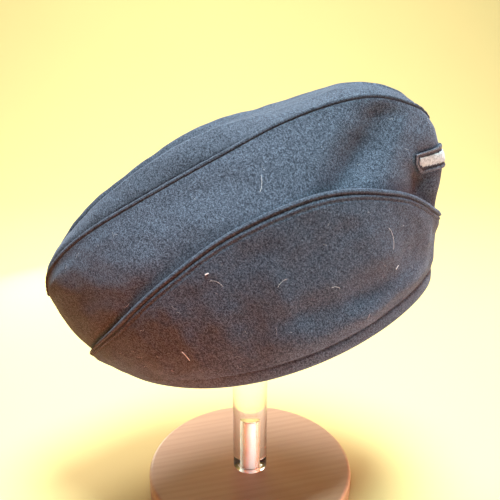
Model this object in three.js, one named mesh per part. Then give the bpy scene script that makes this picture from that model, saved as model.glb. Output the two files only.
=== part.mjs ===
// A wool side cap, opened as if worn, resting on the clear post of a round wooden display stand.
// Millimetres, +Z up, +X towards the front of the cap, +Y towards the wearer's left.
// The origin is at the centre of the stand's underside.

import * as THREE from 'three';
import { mergeVertices } from 'three/addons/utils/BufferGeometryUtils.js';

// Cloth
const CLOTH = 2; // one layer of wool
const TURN_UP = 3; // the turn-up, wool folded double
const GAP = 0.3; // between neighbouring pieces

// How the cap sits on its stand: the middle of the rim, and how far the front end is raised
const RIM_CENTRE = new THREE.Vector3(13, 0, 138);
const PITCH = THREE.MathUtils.degToRad(16);

// Plan outlines: reach to the front and to the back, half width, and roundness of the ends (1 is an ellipse)
const RIM_PLAN = { front: 112, back: 102, half: 70, round: 0.5 };
const SEAM_PLAN = { front: 134, back: 135, half: 26, round: 0.9 };

// The crown's centre line ends short of the seam, and its lobes are highest part of the way in from the seam
const CREST_REACH = { front: 122, back: 127 };
const RIDGE_SHARE = 0.6;
const CROWN_FIRM = 0.45; // share of its climb that is straight

// Ribs from the front centre (0 degrees) round to the back centre (180 degrees), the same on both sides.
// seam: height of the crown seam above the rim. edge: height of the turn-up's free edge above the rim.
// bulge: how far the side swells out, and peak: the share of its height where it swells most.
// flare: how far the turn-up's edge stands off the side. puff: how far the crown swells out past its seam.
// lobe: rise of the crown above its seam. dip: depth of its centre crease.
const RIBS = [
  { angle: 0, seam: 107, edge: 44, bulge: 9.5, peak: 0.68, flare: 0.5, puff: 0, lobe: 5, dip: 0 },
  { angle: 20, seam: 119, edge: 54, bulge: 9, peak: 0.64, flare: 1, puff: 0, lobe: 9, dip: 0 },
  { angle: 45, seam: 136, edge: 80, bulge: 11, peak: 0.56, flare: 1.5, puff: 0, lobe: 5.5, dip: 0 },
  { angle: 70, seam: 137, edge: 97, bulge: 16, peak: 0.5, flare: 1, puff: 0, lobe: 4, dip: 0 },
  { angle: 90, seam: 128, edge: 92, bulge: 18, peak: 0.5, flare: 1, puff: 0.6, lobe: 13.5, dip: 3 },
  { angle: 110, seam: 117, edge: 74, bulge: 18, peak: 0.5, flare: 1, puff: 1.2, lobe: 14, dip: 7 },
  { angle: 135, seam: 102, edge: 46.5, bulge: 15, peak: 0.5, flare: 1, puff: 1.5, lobe: 9, dip: 7 },
  { angle: 160, seam: 82, edge: 26, bulge: 12.5, peak: 0.45, flare: 1, puff: 1.5, lobe: 6, dip: 3 },
  { angle: 180, seam: 64, edge: 16, bulge: 11, peak: 0.4, flare: 1, puff: 1, lobe: 6, dip: 0 },
];

// Soft dents, the same on both sides: angle from the front, height above the rim, reach round and up, depth
// (below 0 swells out), and how far the middle climbs with each degree. Swells carry the turn-up with them.
const SWELLS = [{ angle: 76, height: 96, wide: 22, tall: 15, depth: -4, lean: 0 }];
const HOLLOWS = [{ angle: 54, height: 103, wide: 17, tall: 15, depth: 9, lean: -1 }];
const SEAM_HOLD = { from: 1, to: 11 }; // the crown seam holds the cloth out over this far below it

// The crown laps over the sides in a raised welt. Rows from its underside up: out and up from the seam line
const WELT = [
  { out: 0.8, up: -0.9, inner: -0.9 },
  { out: 1.3, up: 0.2, inner: 0 },
  { out: 0.8, up: 1.4, inner: 0.9 },
];
const CROWN_ROWS = [0.12, 0.24, 0.36, 0.48, 0.6, 0.74, 0.88, 1];

// The fold at the rim takes in the lower edge of the sides, and is rounded underneath
const TUCK = 5; // height of the fold
const FOLD_DROP = 1.2; // how far it hangs below the rim
const FOLD_FLAT = 0.33; // share of its thickness that lies flat underneath
const FOLD_SHOULDER = 0.8; // share of its thickness at the rim
const EDGE_ROLL = 0.8; // half width of the turn-up's rolled top edge

// The patch on the front and the bar on it: half spread round the front in degrees, heights above the rim
// at the front centre, how far the ends are lifted, and thickness
const PATCH = { spread: 29, low: 74, high: 88, lift: 4, thick: 0.8 };
const BAR = { spread: 26, low: 77.5, high: 84.5, lift: 4, thick: 0.6 };

// Stand
const BASE = { radius: 76, thick: 16, edge: 3, foot: 1 };
const POST = { radius: 12.5, bore: 4.3, boreDepth: 42 };
const PEG = { radius: 4, length: 41 };

// Mesh fineness
const HALF_COLUMNS = 32;
const SIDE_ROWS = 10;
const TURN_UP_ROWS = 8;
const PATCH_COLUMNS = 20;
const PATCH_ROWS = 4;
const ROUND_SEGMENTS = 48;
const CORNER_SEGMENTS = 4;
const DOME_SEGMENTS = 6;
const DRAW_IN = 22; // degrees by which columns shift towards the front and back centres
const STEP = 0.05; // for slopes of the cloth surfaces
const PROBES = 256; // places tried round the crown where the post may touch it

// Angle from the front centre, whichever side it is on
function ribAngle(heading) {
  const turned = ((heading % 360) + 360) % 360;
  return Math.min(turned, 360 - turned);
}

// Smooth curve through one column of the ribs, level at the front and back centres
function ribCurve(name) {
  const angles = RIBS.map((rib) => rib.angle);
  const values = RIBS.map((rib) => rib[name]);
  const last = RIBS.length - 1;
  const slopes = values.map((value, i) => {
    if (i === 0 || i === last) return 0;
    const before = angles[i] - angles[i - 1];
    const after = angles[i + 1] - angles[i];
    const rise = (values[i + 1] - value) / after;
    const fall = (value - values[i - 1]) / before;
    return (rise * before + fall * after) / (before + after);
  });
  return (heading) => {
    const angle = ribAngle(heading);
    const i = Math.min(angles.findLastIndex((a) => a <= angle), last - 1);
    const width = angles[i + 1] - angles[i];
    const k = (angle - angles[i]) / width;
    const leave = (1 + 2 * k) * (1 - k) ** 2;
    const arrive = k * k * (3 - 2 * k);
    const bendOut = k * (1 - k) ** 2 * width;
    const bendIn = k * k * (k - 1) * width;
    return leave * values[i] + arrive * values[i + 1] + bendOut * slopes[i] + bendIn * slopes[i + 1];
  };
}

const seamHeight = ribCurve('seam');
const edgeHeight = ribCurve('edge');
const bulge = ribCurve('bulge');
const peak = ribCurve('peak');
const flare = ribCurve('flare');
const puff = ribCurve('puff');
const lobe = ribCurve('lobe');
const dip = ribCurve('dip');

// Level direction away from the cap's middle
function outward(heading) {
  const turn = THREE.MathUtils.degToRad(heading);
  return new THREE.Vector3(Math.cos(turn), Math.sin(turn), 0);
}

// Point of a plan outline. The heading is 0 at the front, 90 at the wearer's left and 180 at the back
function planPoint(plan, heading, height) {
  const away = outward(heading);
  const reach = away.x > 0 ? plan.front : plan.back;
  const fullness = plan.round + (1 - plan.round) * Math.abs(away.y);
  return new THREE.Vector3(reach * away.x, plan.half * away.y * fullness, height);
}

// Depth of all the given dents at a place
function dented(dents, heading, height) {
  const angle = ribAngle(heading);
  return dents.reduce((depth, dent) => {
    const round = (angle - dent.angle) / dent.wide;
    const up = (height - dent.height - dent.lean * (angle - dent.angle)) / dent.tall;
    return depth + dent.depth * Math.exp(-(round ** 2) - up ** 2);
  }, 0);
}

// Swelling between two edges, 0 at both and 1 at its peak
function swell(share, at) {
  const lean = at / (1 - at);
  const inside = THREE.MathUtils.clamp(share, 0, 1);
  return ((inside / at) ** lean * (1 - inside)) / (1 - at);
}

// Outside of the side panels, from the rim (share 0) to the crown seam (share 1)
function sidePoint(heading, share) {
  const rim = planPoint(RIM_PLAN, heading, 0);
  const seam = planPoint(SEAM_PLAN, heading, seamHeight(heading));
  const dent = dented(SWELLS, heading, share * seam.z);
  const out = bulge(heading) * swell(share, peak(heading)) - dent;
  return rim.lerp(seam, share).addScaledVector(outward(heading), out);
}

// Outside of the crown, from its seam (share 0) to the centre line (share 1)
function crownPoint(heading, share) {
  const seam = planPoint(SEAM_PLAN, heading, seamHeight(heading));
  const end = seam.x > 0 ? 'front' : 'back';
  const crest = new THREE.Vector3((seam.x * CREST_REACH[end]) / SEAM_PLAN[end], 0, seam.z);
  const climb = Math.min(share / RIDGE_SHARE, 1);
  const descent = Math.max((share - RIDGE_SHARE) / (1 - RIDGE_SHARE), 0);
  const rounded = Math.sin((climb * Math.PI) / 2);
  const rise = lobe(heading) * ((1 - CROWN_FIRM) * rounded + CROWN_FIRM * climb);
  const crease = dip(heading) * Math.sin((descent * Math.PI) / 2) ** 2;
  const swelling = puff(heading) * Math.sin(climb * Math.PI);
  const point = seam.lerp(crest, share).addScaledVector(outward(heading), swelling);
  point.z += rise - crease;
  return point;
}

// Outward normal of a cloth surface
function clothNormal(surface, heading, share) {
  const round = surface(heading + STEP, share).sub(surface(heading - STEP, share));
  const rise = surface(heading, Math.min(share + STEP, 1)).sub(surface(heading, share - STEP));
  return round.cross(rise).normalize();
}

// Point at a height above the rim, a distance off the outside of the sides
function offSide(heading, height, distance) {
  const share = height / seamHeight(heading);
  const normal = clothNormal(sidePoint, heading, share);
  return sidePoint(heading, share).addScaledVector(normal, distance);
}

// The same on the hollowed cloth of the sides
function offCloth(heading, height, distance) {
  const loose = THREE.MathUtils.smoothstep(seamHeight(heading) - height, SEAM_HOLD.from, SEAM_HOLD.to);
  return offSide(heading, height, distance - loose * dented(HOLLOWS, heading, height));
}

// Point off the crown seam: out from the side, and up along it
function offSeam(heading, out, up) {
  const seam = sidePoint(heading, 1);
  const rise = seam.clone().sub(sidePoint(heading, 1 - STEP)).normalize();
  const normal = clothNormal(sidePoint, heading, 1);
  return seam.addScaledVector(normal, out).addScaledVector(rise, up);
}

// Headings from one to another, drawn together at the front and back where the cap turns sharply
function headings(from, to, count) {
  return Array.from({ length: count + 1 }, (_, i) => {
    const even = from + ((to - from) * i) / count;
    return even - DRAW_IN * Math.sin(THREE.MathUtils.degToRad(2 * even));
  });
}

// Heights shared out evenly from low to high
function steps(low, high, count) {
  return Array.from({ length: count + 1 }, (_, i) => low + ((high - low) * i) / count);
}

// Closed wall from columns of rungs, each rung with an outer and an inner point, from the bottom up.
// A ring joins its last column to its first. A dome's top row is one line that both sides share.
function wallGeometry(columns, { ring = false, dome = false } = {}) {
  const points = [];
  const faces = [];
  const rows = columns[0].length;
  columns.flat().forEach((rung) => points.push(rung.outer, rung.inner));
  const outer = (column, row) => 2 * ((column % columns.length) * rows + row);
  const inner = (column, row) => outer(column, row) + 1;
  const quad = (a, b, c, d) => faces.push(a, b, c, a, c, d);
  const spans = ring ? columns.length : columns.length - 1;
  for (let j = 0; j < spans; j += 1) {
    for (let i = 0; i < rows - 1; i += 1) {
      quad(outer(j, i), outer(j + 1, i), outer(j + 1, i + 1), outer(j, i + 1));
      quad(inner(j, i), inner(j, i + 1), inner(j + 1, i + 1), inner(j + 1, i));
    }
    quad(outer(j, 0), inner(j, 0), inner(j + 1, 0), outer(j + 1, 0));
    if (!dome) {
      quad(outer(j, rows - 1), outer(j + 1, rows - 1), inner(j + 1, rows - 1), inner(j, rows - 1));
    }
  }
  if (!ring) {
    for (let i = 0; i < rows - 1; i += 1) {
      quad(outer(0, i), outer(0, i + 1), inner(0, i + 1), inner(0, i));
      quad(outer(spans, i), inner(spans, i), inner(spans, i + 1), outer(spans, i + 1));
    }
  }
  const geometry = new THREE.BufferGeometry().setFromPoints(points);
  geometry.setIndex(faces);
  return mergeVertices(geometry, 1e-4);
}

// Keeps a half of the cap clear of the centre seams
function halfColumn(rungs, isLeft) {
  const keep = (y) => (isLeft ? Math.max(y, GAP / 2) : Math.min(y, -GAP / 2));
  rungs.forEach((rung) => {
    rung.outer.y = keep(rung.outer.y);
    rung.inner.y = keep(rung.inner.y);
  });
  return rungs;
}

function halfHeadings(isLeft) {
  return isLeft ? headings(0, 180, HALF_COLUMNS) : headings(180, 360, HALF_COLUMNS);
}

// One wool side, from inside the fold at the rim to under the crown's welt
function sideGeometry(isLeft) {
  const columns = halfHeadings(isLeft).map((heading) => {
    const rungs = steps(TUCK, seamHeight(heading), SIDE_ROWS).map((height) => ({
      outer: offCloth(heading, height, 0),
      inner: offCloth(heading, height, -CLOTH),
    }));
    const top = WELT[0].up - GAP;
    rungs[SIDE_ROWS] = { outer: offSeam(heading, 0, top), inner: offSeam(heading, -CLOTH, top - CLOTH) };
    return halfColumn(rungs, isLeft);
  });
  return wallGeometry(columns);
}

// One half of the turn-up: the fold round the rim, the face, and the rolled free edge
function turnUpGeometry(isLeft) {
  const columns = halfHeadings(isLeft).map((heading) => {
    const edge = edgeHeight(heading);
    const face = GAP + TURN_UP;
    const rung = (outerHeight, outerOff, innerHeight, innerOff) => ({
      outer: offSide(heading, outerHeight, outerOff),
      inner: offSide(heading, innerHeight, innerOff),
    });
    const rungs = [
      rung(-FOLD_DROP, face * FOLD_FLAT, -FOLD_DROP, -CLOTH * FOLD_FLAT),
      rung(0, face * FOLD_SHOULDER, 0, -CLOTH),
      rung(TUCK / 2, face, TUCK - GAP, -CLOTH),
      rung(TUCK, face, TUCK - GAP, GAP),
    ];
    const heights = steps(TUCK, edge - EDGE_ROLL, TURN_UP_ROWS).slice(1);
    heights.forEach((height) => {
      const stand = flare(heading) * ((height - TUCK) / (edge - TUCK)) ** 2;
      rungs.push(rung(height, stand + face, height, stand + GAP));
    });
    const middle = flare(heading) + GAP + TURN_UP / 2;
    rungs.push(rung(edge, middle + EDGE_ROLL, edge, middle - EDGE_ROLL));
    return halfColumn(rungs, isLeft);
  });
  return wallGeometry(columns);
}

// The top panel, with its welt lapped over the sides
function crownColumn(heading) {
  const welt = WELT.map((row) => ({
    outer: offSeam(heading, row.out, row.up),
    inner: offSeam(heading, -CLOTH, row.inner),
  }));
  const panel = CROWN_ROWS.map((share) => {
    const outer = crownPoint(heading, share);
    const normal = share < 1 ? clothNormal(crownPoint, heading, share) : new THREE.Vector3(0, 0, 1);
    return { outer, inner: outer.clone().addScaledVector(normal, -CLOTH) };
  });
  return [...welt, ...panel];
}

function crownGeometry() {
  const columns = headings(0, 360, 2 * HALF_COLUMNS).slice(0, -1).map(crownColumn);
  return wallGeometry(columns, { ring: true, dome: true });
}

// Cloth laid round the front of the sides, a distance off them
function frontCloth({ spread, low, high, lift, thick }, off) {
  const columns = steps(-spread, spread, PATCH_COLUMNS).map((heading) => {
    const lifted = lift * (heading / spread) ** 2;
    return steps(low + lifted, high + lifted, PATCH_ROWS).map((height) => ({
      outer: offCloth(heading, height, off + thick),
      inner: offCloth(heading, height, off),
    }));
  });
  return wallGeometry(columns);
}

function lathe(profile) {
  const points = profile.map(([radius, height]) => new THREE.Vector2(radius, height));
  const geometry = new THREE.LatheGeometry(points, ROUND_SEGMENTS);
  geometry.deleteAttribute('normal');
  geometry.deleteAttribute('uv');
  return mergeVertices(geometry.rotateX(Math.PI / 2), 1e-4);
}

const cap = new THREE.Group();
cap.position.copy(RIM_CENTRE);
cap.rotation.y = -PITCH;
cap.updateMatrix();

// Height of the middle of the post's domed top, just clear of the crown that rests on it
function domeHeight() {
  const reach = POST.radius + GAP;
  const touches = [];
  headings(0, 360, PROBES).forEach((heading) => {
    steps(RIDGE_SHARE / 2, 1, PROBES / 8).forEach((share) => {
      const normal = share < 1 ? clothNormal(crownPoint, heading, share) : new THREE.Vector3(0, 0, 1);
      const under = crownPoint(heading, share).addScaledVector(normal, -CLOTH).applyMatrix4(cap.matrix);
      const side = Math.hypot(under.x, under.y);
      if (side < reach) touches.push(under.z - Math.sqrt(reach ** 2 - side ** 2));
    });
  });
  return Math.min(...touches);
}

// Quarter circle of a profile, from its outer side round to its top
function quarterRound(side, top, radius, segments) {
  return steps(0, Math.PI / 2, segments).map((turn) => [
    side - radius + radius * Math.cos(turn),
    top - radius + radius * Math.sin(turn),
  ]);
}

function baseProfile() {
  const { radius, thick, edge, foot } = BASE;
  const shoulder = quarterRound(radius, thick, edge, CORNER_SEGMENTS);
  return [[0, 0], [radius - foot, 0], [radius, foot], ...shoulder, [0, thick]];
}

function postProfile() {
  const { radius, bore, boreDepth } = POST;
  const foot = BASE.thick + GAP;
  const dome = quarterRound(radius, domeHeight() + radius, radius, DOME_SEGMENTS);
  return [[0, foot + boreDepth], [bore, foot + boreDepth], [bore, foot], [radius, foot], ...dome];
}

function pegProfile() {
  const { radius, length } = PEG;
  const foot = BASE.thick + GAP;
  return [[0, foot], [radius, foot], ...quarterRound(radius, foot + length, radius, CORNER_SEGMENTS)];
}

const wool = new THREE.MeshStandardMaterial({ color: 0x23262f, roughness: 0.95, metalness: 0 });
const felt = new THREE.MeshStandardMaterial({ color: 0x1b1c22, roughness: 0.95, metalness: 0 });
const thread = new THREE.MeshStandardMaterial({ color: 0xd3c4b8, roughness: 0.85, metalness: 0 });
const acrylic = new THREE.MeshStandardMaterial({ color: 0xf4f4ee, roughness: 0.08, metalness: 0 });
const dowel = new THREE.MeshStandardMaterial({ color: 0xead9c4, roughness: 0.6, metalness: 0 });
const wood = new THREE.MeshStandardMaterial({ color: 0x8a5a3a, roughness: 0.5, metalness: 0 });

function piece(name, geometry, material) {
  const mesh = new THREE.Mesh(geometry, material);
  mesh.name = name;
  return mesh;
}

cap.add(
  piece('top_gusset', crownGeometry(), wool),
  piece('side_right', sideGeometry(false), wool),
  piece('side_left', sideGeometry(true), wool),
  piece('turn_up_right', turnUpGeometry(false), wool),
  piece('turn_up_left', turnUpGeometry(true), wool),
  piece('front_patch', frontCloth(PATCH, GAP), felt),
  piece('patch_bar', frontCloth(BAR, 2 * GAP + PATCH.thick), thread),
);

const stand = new THREE.Group();
stand.add(
  piece('stand_base', lathe(baseProfile()), wood),
  piece('stand_post', lathe(postProfile()), acrylic),
  piece('stand_peg', lathe(pegProfile()), dowel),
);

const sideCap = new THREE.Group();
sideCap.add(cap, stand);

export default sideCap;
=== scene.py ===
"""A soft wool side cap, opened on the clear post of a round wooden display stand.

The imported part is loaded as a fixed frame. Each sub-assembly rebuilds its pieces in that frame and
dresses them with procedural finishes. Sizes of the cap and the stand are in millimetres. Finishes, the
studio and the finished meshes are in metres.
"""

import logging
import math
from collections.abc import Callable, Sequence
from dataclasses import dataclass
from enum import Enum

import bmesh
import bpy
import numpy as np
from mathutils import Matrix, Vector

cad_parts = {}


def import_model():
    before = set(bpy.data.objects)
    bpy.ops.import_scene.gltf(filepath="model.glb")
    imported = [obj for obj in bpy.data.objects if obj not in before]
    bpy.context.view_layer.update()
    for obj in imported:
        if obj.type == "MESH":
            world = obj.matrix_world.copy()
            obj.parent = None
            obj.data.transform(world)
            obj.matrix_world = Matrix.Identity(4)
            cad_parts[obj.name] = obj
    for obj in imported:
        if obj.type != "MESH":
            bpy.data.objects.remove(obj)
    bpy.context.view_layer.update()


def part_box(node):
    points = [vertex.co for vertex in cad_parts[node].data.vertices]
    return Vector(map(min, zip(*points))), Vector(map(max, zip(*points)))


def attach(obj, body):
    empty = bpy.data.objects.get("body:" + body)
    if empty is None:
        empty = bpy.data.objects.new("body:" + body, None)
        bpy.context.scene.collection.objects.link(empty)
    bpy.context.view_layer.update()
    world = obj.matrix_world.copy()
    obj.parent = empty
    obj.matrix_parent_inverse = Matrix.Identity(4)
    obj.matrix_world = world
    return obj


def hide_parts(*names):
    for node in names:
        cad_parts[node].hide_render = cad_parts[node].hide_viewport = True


LOG = logging.getLogger("side_cap")
MM = 0.001
NEAR = 1e-6
FULL_TURN = 2.0 * math.pi
UP = np.array([0.0, 0.0, 1.0])
Array = np.ndarray
Value = np.ndarray | float
Span = tuple[float, float]
Section = tuple[Span, ...]
Place = tuple[float, float, float]
Colour = tuple[float, float, float, float]
Piece = bpy.types.Object
Node = bpy.types.Node
Socket = bpy.types.NodeSocket
Sockets = dict[str, object]


class Half(Enum):
    """The two halves of the cap, by the headings that they cover from the front."""

    LEFT = (0.0, 180.0)
    RIGHT = (180.0, 360.0)

    def heading(self, angle: Array) -> Array:
        """Headings on this half, by their angle from the front."""
        return angle if self is Half.LEFT else 360.0 - angle


class Pick(Enum):
    """Kinds of mesh element that can be selected."""

    EDGE = "EDGE"
    FACE = "FACE"


# Form of the cap


@dataclass(frozen=True)
class Rib:
    """Form of the cap at one angle from the front centre, the same on both sides.

    seam and edge are heights above the rim of the crown seam and of the turn-up's free edge. bulge is
    how far the side swells out and peak the share of its height where it does. flare is how far the
    turn-up's edge stands off, puff how far the crown swells past its seam, lobe the rise of the crown
    and dip the depth of its centre crease.
    """

    angle: float
    seam: float
    edge: float
    bulge: float
    peak: float
    flare: float
    puff: float
    lobe: float
    dip: float


RIBS = (
    Rib(angle=0, seam=107, edge=44, bulge=9.5, peak=0.68, flare=0.5, puff=0, lobe=5, dip=0),
    Rib(angle=20, seam=119, edge=54, bulge=9, peak=0.64, flare=1, puff=0, lobe=9, dip=0),
    Rib(angle=45, seam=136, edge=80, bulge=11, peak=0.56, flare=1.5, puff=0, lobe=5.5, dip=0),
    Rib(angle=70, seam=137, edge=97, bulge=16, peak=0.5, flare=1, puff=0, lobe=4, dip=0),
    Rib(angle=90, seam=128, edge=92, bulge=18, peak=0.5, flare=1, puff=0.6, lobe=13.5, dip=3),
    Rib(angle=110, seam=117, edge=74, bulge=18, peak=0.5, flare=1, puff=1.2, lobe=14, dip=7),
    Rib(angle=135, seam=102, edge=46.5, bulge=15, peak=0.5, flare=1, puff=1.5, lobe=9, dip=7),
    Rib(angle=160, seam=82, edge=26, bulge=12.5, peak=0.45, flare=1, puff=1.5, lobe=6, dip=3),
    Rib(angle=180, seam=64, edge=16, bulge=11, peak=0.4, flare=1, puff=1, lobe=6, dip=0),
)


def soft_step(value: Array, low: float, high: float) -> Array:
    """Smooth rise from 0 at low to 1 at high."""
    share = np.clip((value - low) / (high - low), 0.0, 1.0)
    return share * share * (3.0 - 2.0 * share)


def ridge(value: Array, at: Value, width: Value) -> Array:
    """Rounded ridge of height 1 at a place, with the given half width."""
    return np.exp(-(((value - at) / width) ** 2))


def matched(*values: Value) -> Sequence[Array]:
    """Values as arrays of one shape."""
    return np.broadcast_arrays(*(np.asarray(value, float) for value in values))


def unit(ways: Array) -> Array:
    """Directions brought to length 1."""
    return ways / np.linalg.norm(ways, axis=-1, keepdims=True)


def run_of(points: Array) -> Array:
    """Distance run along a line of points."""
    return np.concatenate([[0.0], np.cumsum(np.linalg.norm(np.diff(points, axis=0), axis=-1))])


def row(low: float, high: float, count: int) -> Array:
    """Even steps as one row of a grid."""
    return np.linspace(low, high, count)[None, :]


def arc(low: float, high: float, count: int) -> Array:
    """Even steps of a turn in degrees, as one row of radians."""
    return np.radians(row(low, high, count))


def section(points: Section) -> Array:
    """A wall's section as a row of its first values and a row of its second ones."""
    return np.array(points).T[:, None, :]


@dataclass(frozen=True)
class Dent:
    """A soft hollow (depth above 0) or swelling in the cloth at an angle from the front and a height."""

    angle: float
    height: float
    wide: float
    tall: float
    depth: float
    lean: float = 0.0


@dataclass(frozen=True)
class Line:
    """A rounded line along cloth: its distance from an edge, its half width and how far it stands up."""

    at: float
    width: float
    rise: float

    def over(self, distance: Array) -> Array:
        """Height of the line at distances from the edge."""
        return self.rise * ridge(distance, self.at, self.width)


@dataclass(frozen=True)
class Ripple:
    """Random soft unevenness of cloth: its height, the usual way between swellings, and its pattern."""

    height: float
    length: float
    seed: int
    waves: int = 10
    full: float = 3.2
    spread: Span = (0.75, 1.4)

    def at(self, points: Array) -> Array:
        """Adds up waves that run every way.

        Args:
            points: Places in millimetres.

        Returns:
            A height for each place, mostly within the ripple's own.
        """
        chance = np.random.default_rng(self.seed)
        total = np.zeros(points.shape[:-1])
        for _ in range(self.waves):
            way = chance.normal(size=3)
            way *= FULL_TURN / (self.length * chance.uniform(*self.spread) * np.linalg.norm(way))
            total += np.sin(points @ way + chance.uniform(0.0, FULL_TURN))
        return self.height * (total / self.full)


@dataclass(frozen=True)
class Plan:
    """A plan outline: reach to front and back, half width, and roundness of its ends."""

    front: float
    back: float
    half: float
    round: float

    def at(self, heading: Array, height: Value) -> Array:
        """Points of the outline.

        Args:
            heading: Degrees from the front, 90 at the wearer's left.
            height: Height above the rim.

        Returns:
            Points in millimetres.
        """
        turn = np.radians(heading)
        along = np.cos(turn)
        across = np.sin(turn)
        fullness = self.round + (1.0 - self.round) * np.abs(across)
        reach = np.where(along > 0.0, self.front, self.back)
        return np.stack([reach * along, self.half * across * fullness, height + 0.0 * along], axis=-1)


@dataclass(frozen=True)
class CapForm:
    """The cap's cloth surfaces, in millimetres from the middle of its rim.

    Headings are in degrees from the front, 90 at the wearer's left.
    """

    cloth: float = 2.0
    turn_up: float = 3.0
    gap: float = 0.3
    tuck: float = 5.0
    rim: Plan = Plan(front=112, back=102, half=70, round=0.5)
    seam: Plan = Plan(front=134, back=135, half=26, round=0.9)
    crest_front: float = 122.0
    crest_back: float = 127.0
    ridge_share: float = 0.6
    firm: float = 0.6
    pitch: float = 16.0
    centre: Place = (13.0, 0.0, 138.0)
    draw_in: float = 22.0
    step: float = 0.05
    swells: tuple[Dent, ...] = (Dent(angle=76, height=96, wide=22, tall=15, depth=-4.0),)

    def rib(self, name: str, heading: Array) -> Array:
        """Smooth curve through one column of the ribs.

        Args:
            name: Column of the rib table.
            heading: Where to read it.

        Returns:
            The column's value at each heading.
        """
        angles = np.array([rib.angle for rib in RIBS], dtype=float)
        values = np.array([getattr(rib, name) for rib in RIBS], dtype=float)
        gaps = np.diff(angles)
        chords = np.diff(values) / gaps
        slopes = np.zeros_like(values)
        slopes[1:-1] = (chords[1:] * gaps[:-1] + chords[:-1] * gaps[1:]) / (gaps[:-1] + gaps[1:])
        angle = self.from_front(heading)
        i = np.clip(np.searchsorted(angles, angle, side="right") - 1, 0, len(angles) - 2)
        k = (angle - angles[i]) / gaps[i]
        ends = (1 + 2 * k) * (1 - k) ** 2 * values[i] + k * k * (3 - 2 * k) * values[i + 1]
        bends = k * (1 - k) ** 2 * slopes[i] + k * k * (k - 1) * slopes[i + 1]
        return ends + bends * gaps[i]

    def from_front(self, heading: Array) -> Array:
        """Angle from the front centre, whichever side it is on."""
        turned = np.mod(heading, 360.0)
        return np.minimum(turned, 360.0 - turned)

    def away(self, heading: Array) -> Array:
        """Level direction away from the cap's middle."""
        turn = np.radians(heading)
        return np.stack([np.cos(turn), np.sin(turn), 0.0 * turn], axis=-1)

    def side(self, heading: Value, share: Value) -> Array:
        """Outside of the side panels.

        Args:
            heading: Where round the cap.
            share: Share of the way from the rim up to the crown seam.

        Returns:
            Points in millimetres.
        """
        heading, share = matched(heading, share)
        seam = self.rib("seam", heading)
        low = self.rim.at(heading, 0.0)
        high = self.seam.at(heading, seam)
        peak = self.rib("peak", heading)
        inside = np.clip(share, 0.0, 1.0)
        swell = (inside / peak) ** (peak / (1.0 - peak)) * (1.0 - inside) / (1.0 - peak)
        out = self.rib("bulge", heading) * swell - self.dented(self.swells, heading, share * seam)
        return low + (high - low) * share[..., None] + self.away(heading) * out[..., None]

    def crown(self, heading: Value, share: Value) -> Array:
        """Outside of the crown.

        Args:
            heading: Where round the cap.
            share: Share of the way from the seam in to the centre line.

        Returns:
            Points in millimetres.
        """
        heading, share = matched(heading, share)
        start = self.seam.at(heading, self.rib("seam", heading))
        is_front = start[..., 0] > 0.0
        reach = np.where(is_front, self.crest_front / self.seam.front, self.crest_back / self.seam.back)
        crest = np.stack([start[..., 0] * reach, 0.0 * reach, start[..., 2]], axis=-1)
        climb = np.minimum(share / self.ridge_share, 1.0)
        fall = np.maximum((share - self.ridge_share) / (1.0 - self.ridge_share), 0.0)
        point = start + (crest - start) * share[..., None]
        point += self.away(heading) * (self.rib("puff", heading) * np.sin(climb * math.pi))[..., None]
        rise = (1.0 - self.firm) * np.sin(climb * math.pi / 2.0) + self.firm * climb
        point[..., 2] += self.rib("lobe", heading) * rise
        point[..., 2] -= self.rib("dip", heading) * np.sin(fall * math.pi / 2.0) ** 2
        return point

    def normal(self, surface: Callable[[Array, Array], Array], heading: Value, share: Value) -> Array:
        """Outward normals of a cloth surface.

        Args:
            surface: The side or the crown.
            heading: Where round the cap.
            share: Share of the way over the surface.

        Returns:
            Unit normals.
        """
        heading, share = matched(heading, share)
        around = surface(heading + self.step, share) - surface(heading - self.step, share)
        rise = surface(heading, np.minimum(share + self.step, 1.0)) - surface(heading, share - self.step)
        return unit(np.cross(around, rise))

    def side_normal(self, heading: Value, height: Value) -> Array:
        """Outward normals of the sides at a height above the rim."""
        return self.normal(self.side, heading, height / self.rib("seam", heading))

    def off_side(self, heading: Value, height: Value, distance: Value) -> Array:
        """Points off the outside of the sides.

        Args:
            heading: Where round the cap.
            height: Height above the rim.
            distance: Distance off the cloth.

        Returns:
            Points in millimetres.
        """
        heading, height, distance = matched(heading, height, distance)
        on_cloth = self.side(heading, height / self.rib("seam", heading))
        return on_cloth + self.side_normal(heading, height) * distance[..., None]

    def off_seam(self, heading: Value, out: Value, up: Value) -> Array:
        """Points off the crown seam.

        Args:
            heading: Where round the cap.
            out: Distance out from the side.
            up: Distance up along the side.

        Returns:
            Points in millimetres.
        """
        heading, out, up = matched(heading, out, up)
        top = self.side(heading, 1.0)
        rise = unit(top - self.side(heading, 1.0 - self.step))
        return top + self.normal(self.side, heading, 1.0) * out[..., None] + rise * up[..., None]

    def headings(self, half: Half, count: int) -> Array:
        """Headings over one half, drawn together at the front and back where the cap turns sharply."""
        even = np.linspace(*half.value, count)
        return even - self.draw_in * np.sin(np.radians(2.0 * even))

    def keep_half(self, points: Array, half: Half) -> Array:
        """Keeps a half of the cap clear of the centre seams.

        Args:
            points: Points in millimetres, which are changed.
            half: Which half they are of.

        Returns:
            The points.
        """
        edge = self.gap / 2.0
        across = points[..., 1]
        points[..., 1] = np.maximum(across, edge) if half is Half.LEFT else np.minimum(across, -edge)
        return points

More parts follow.
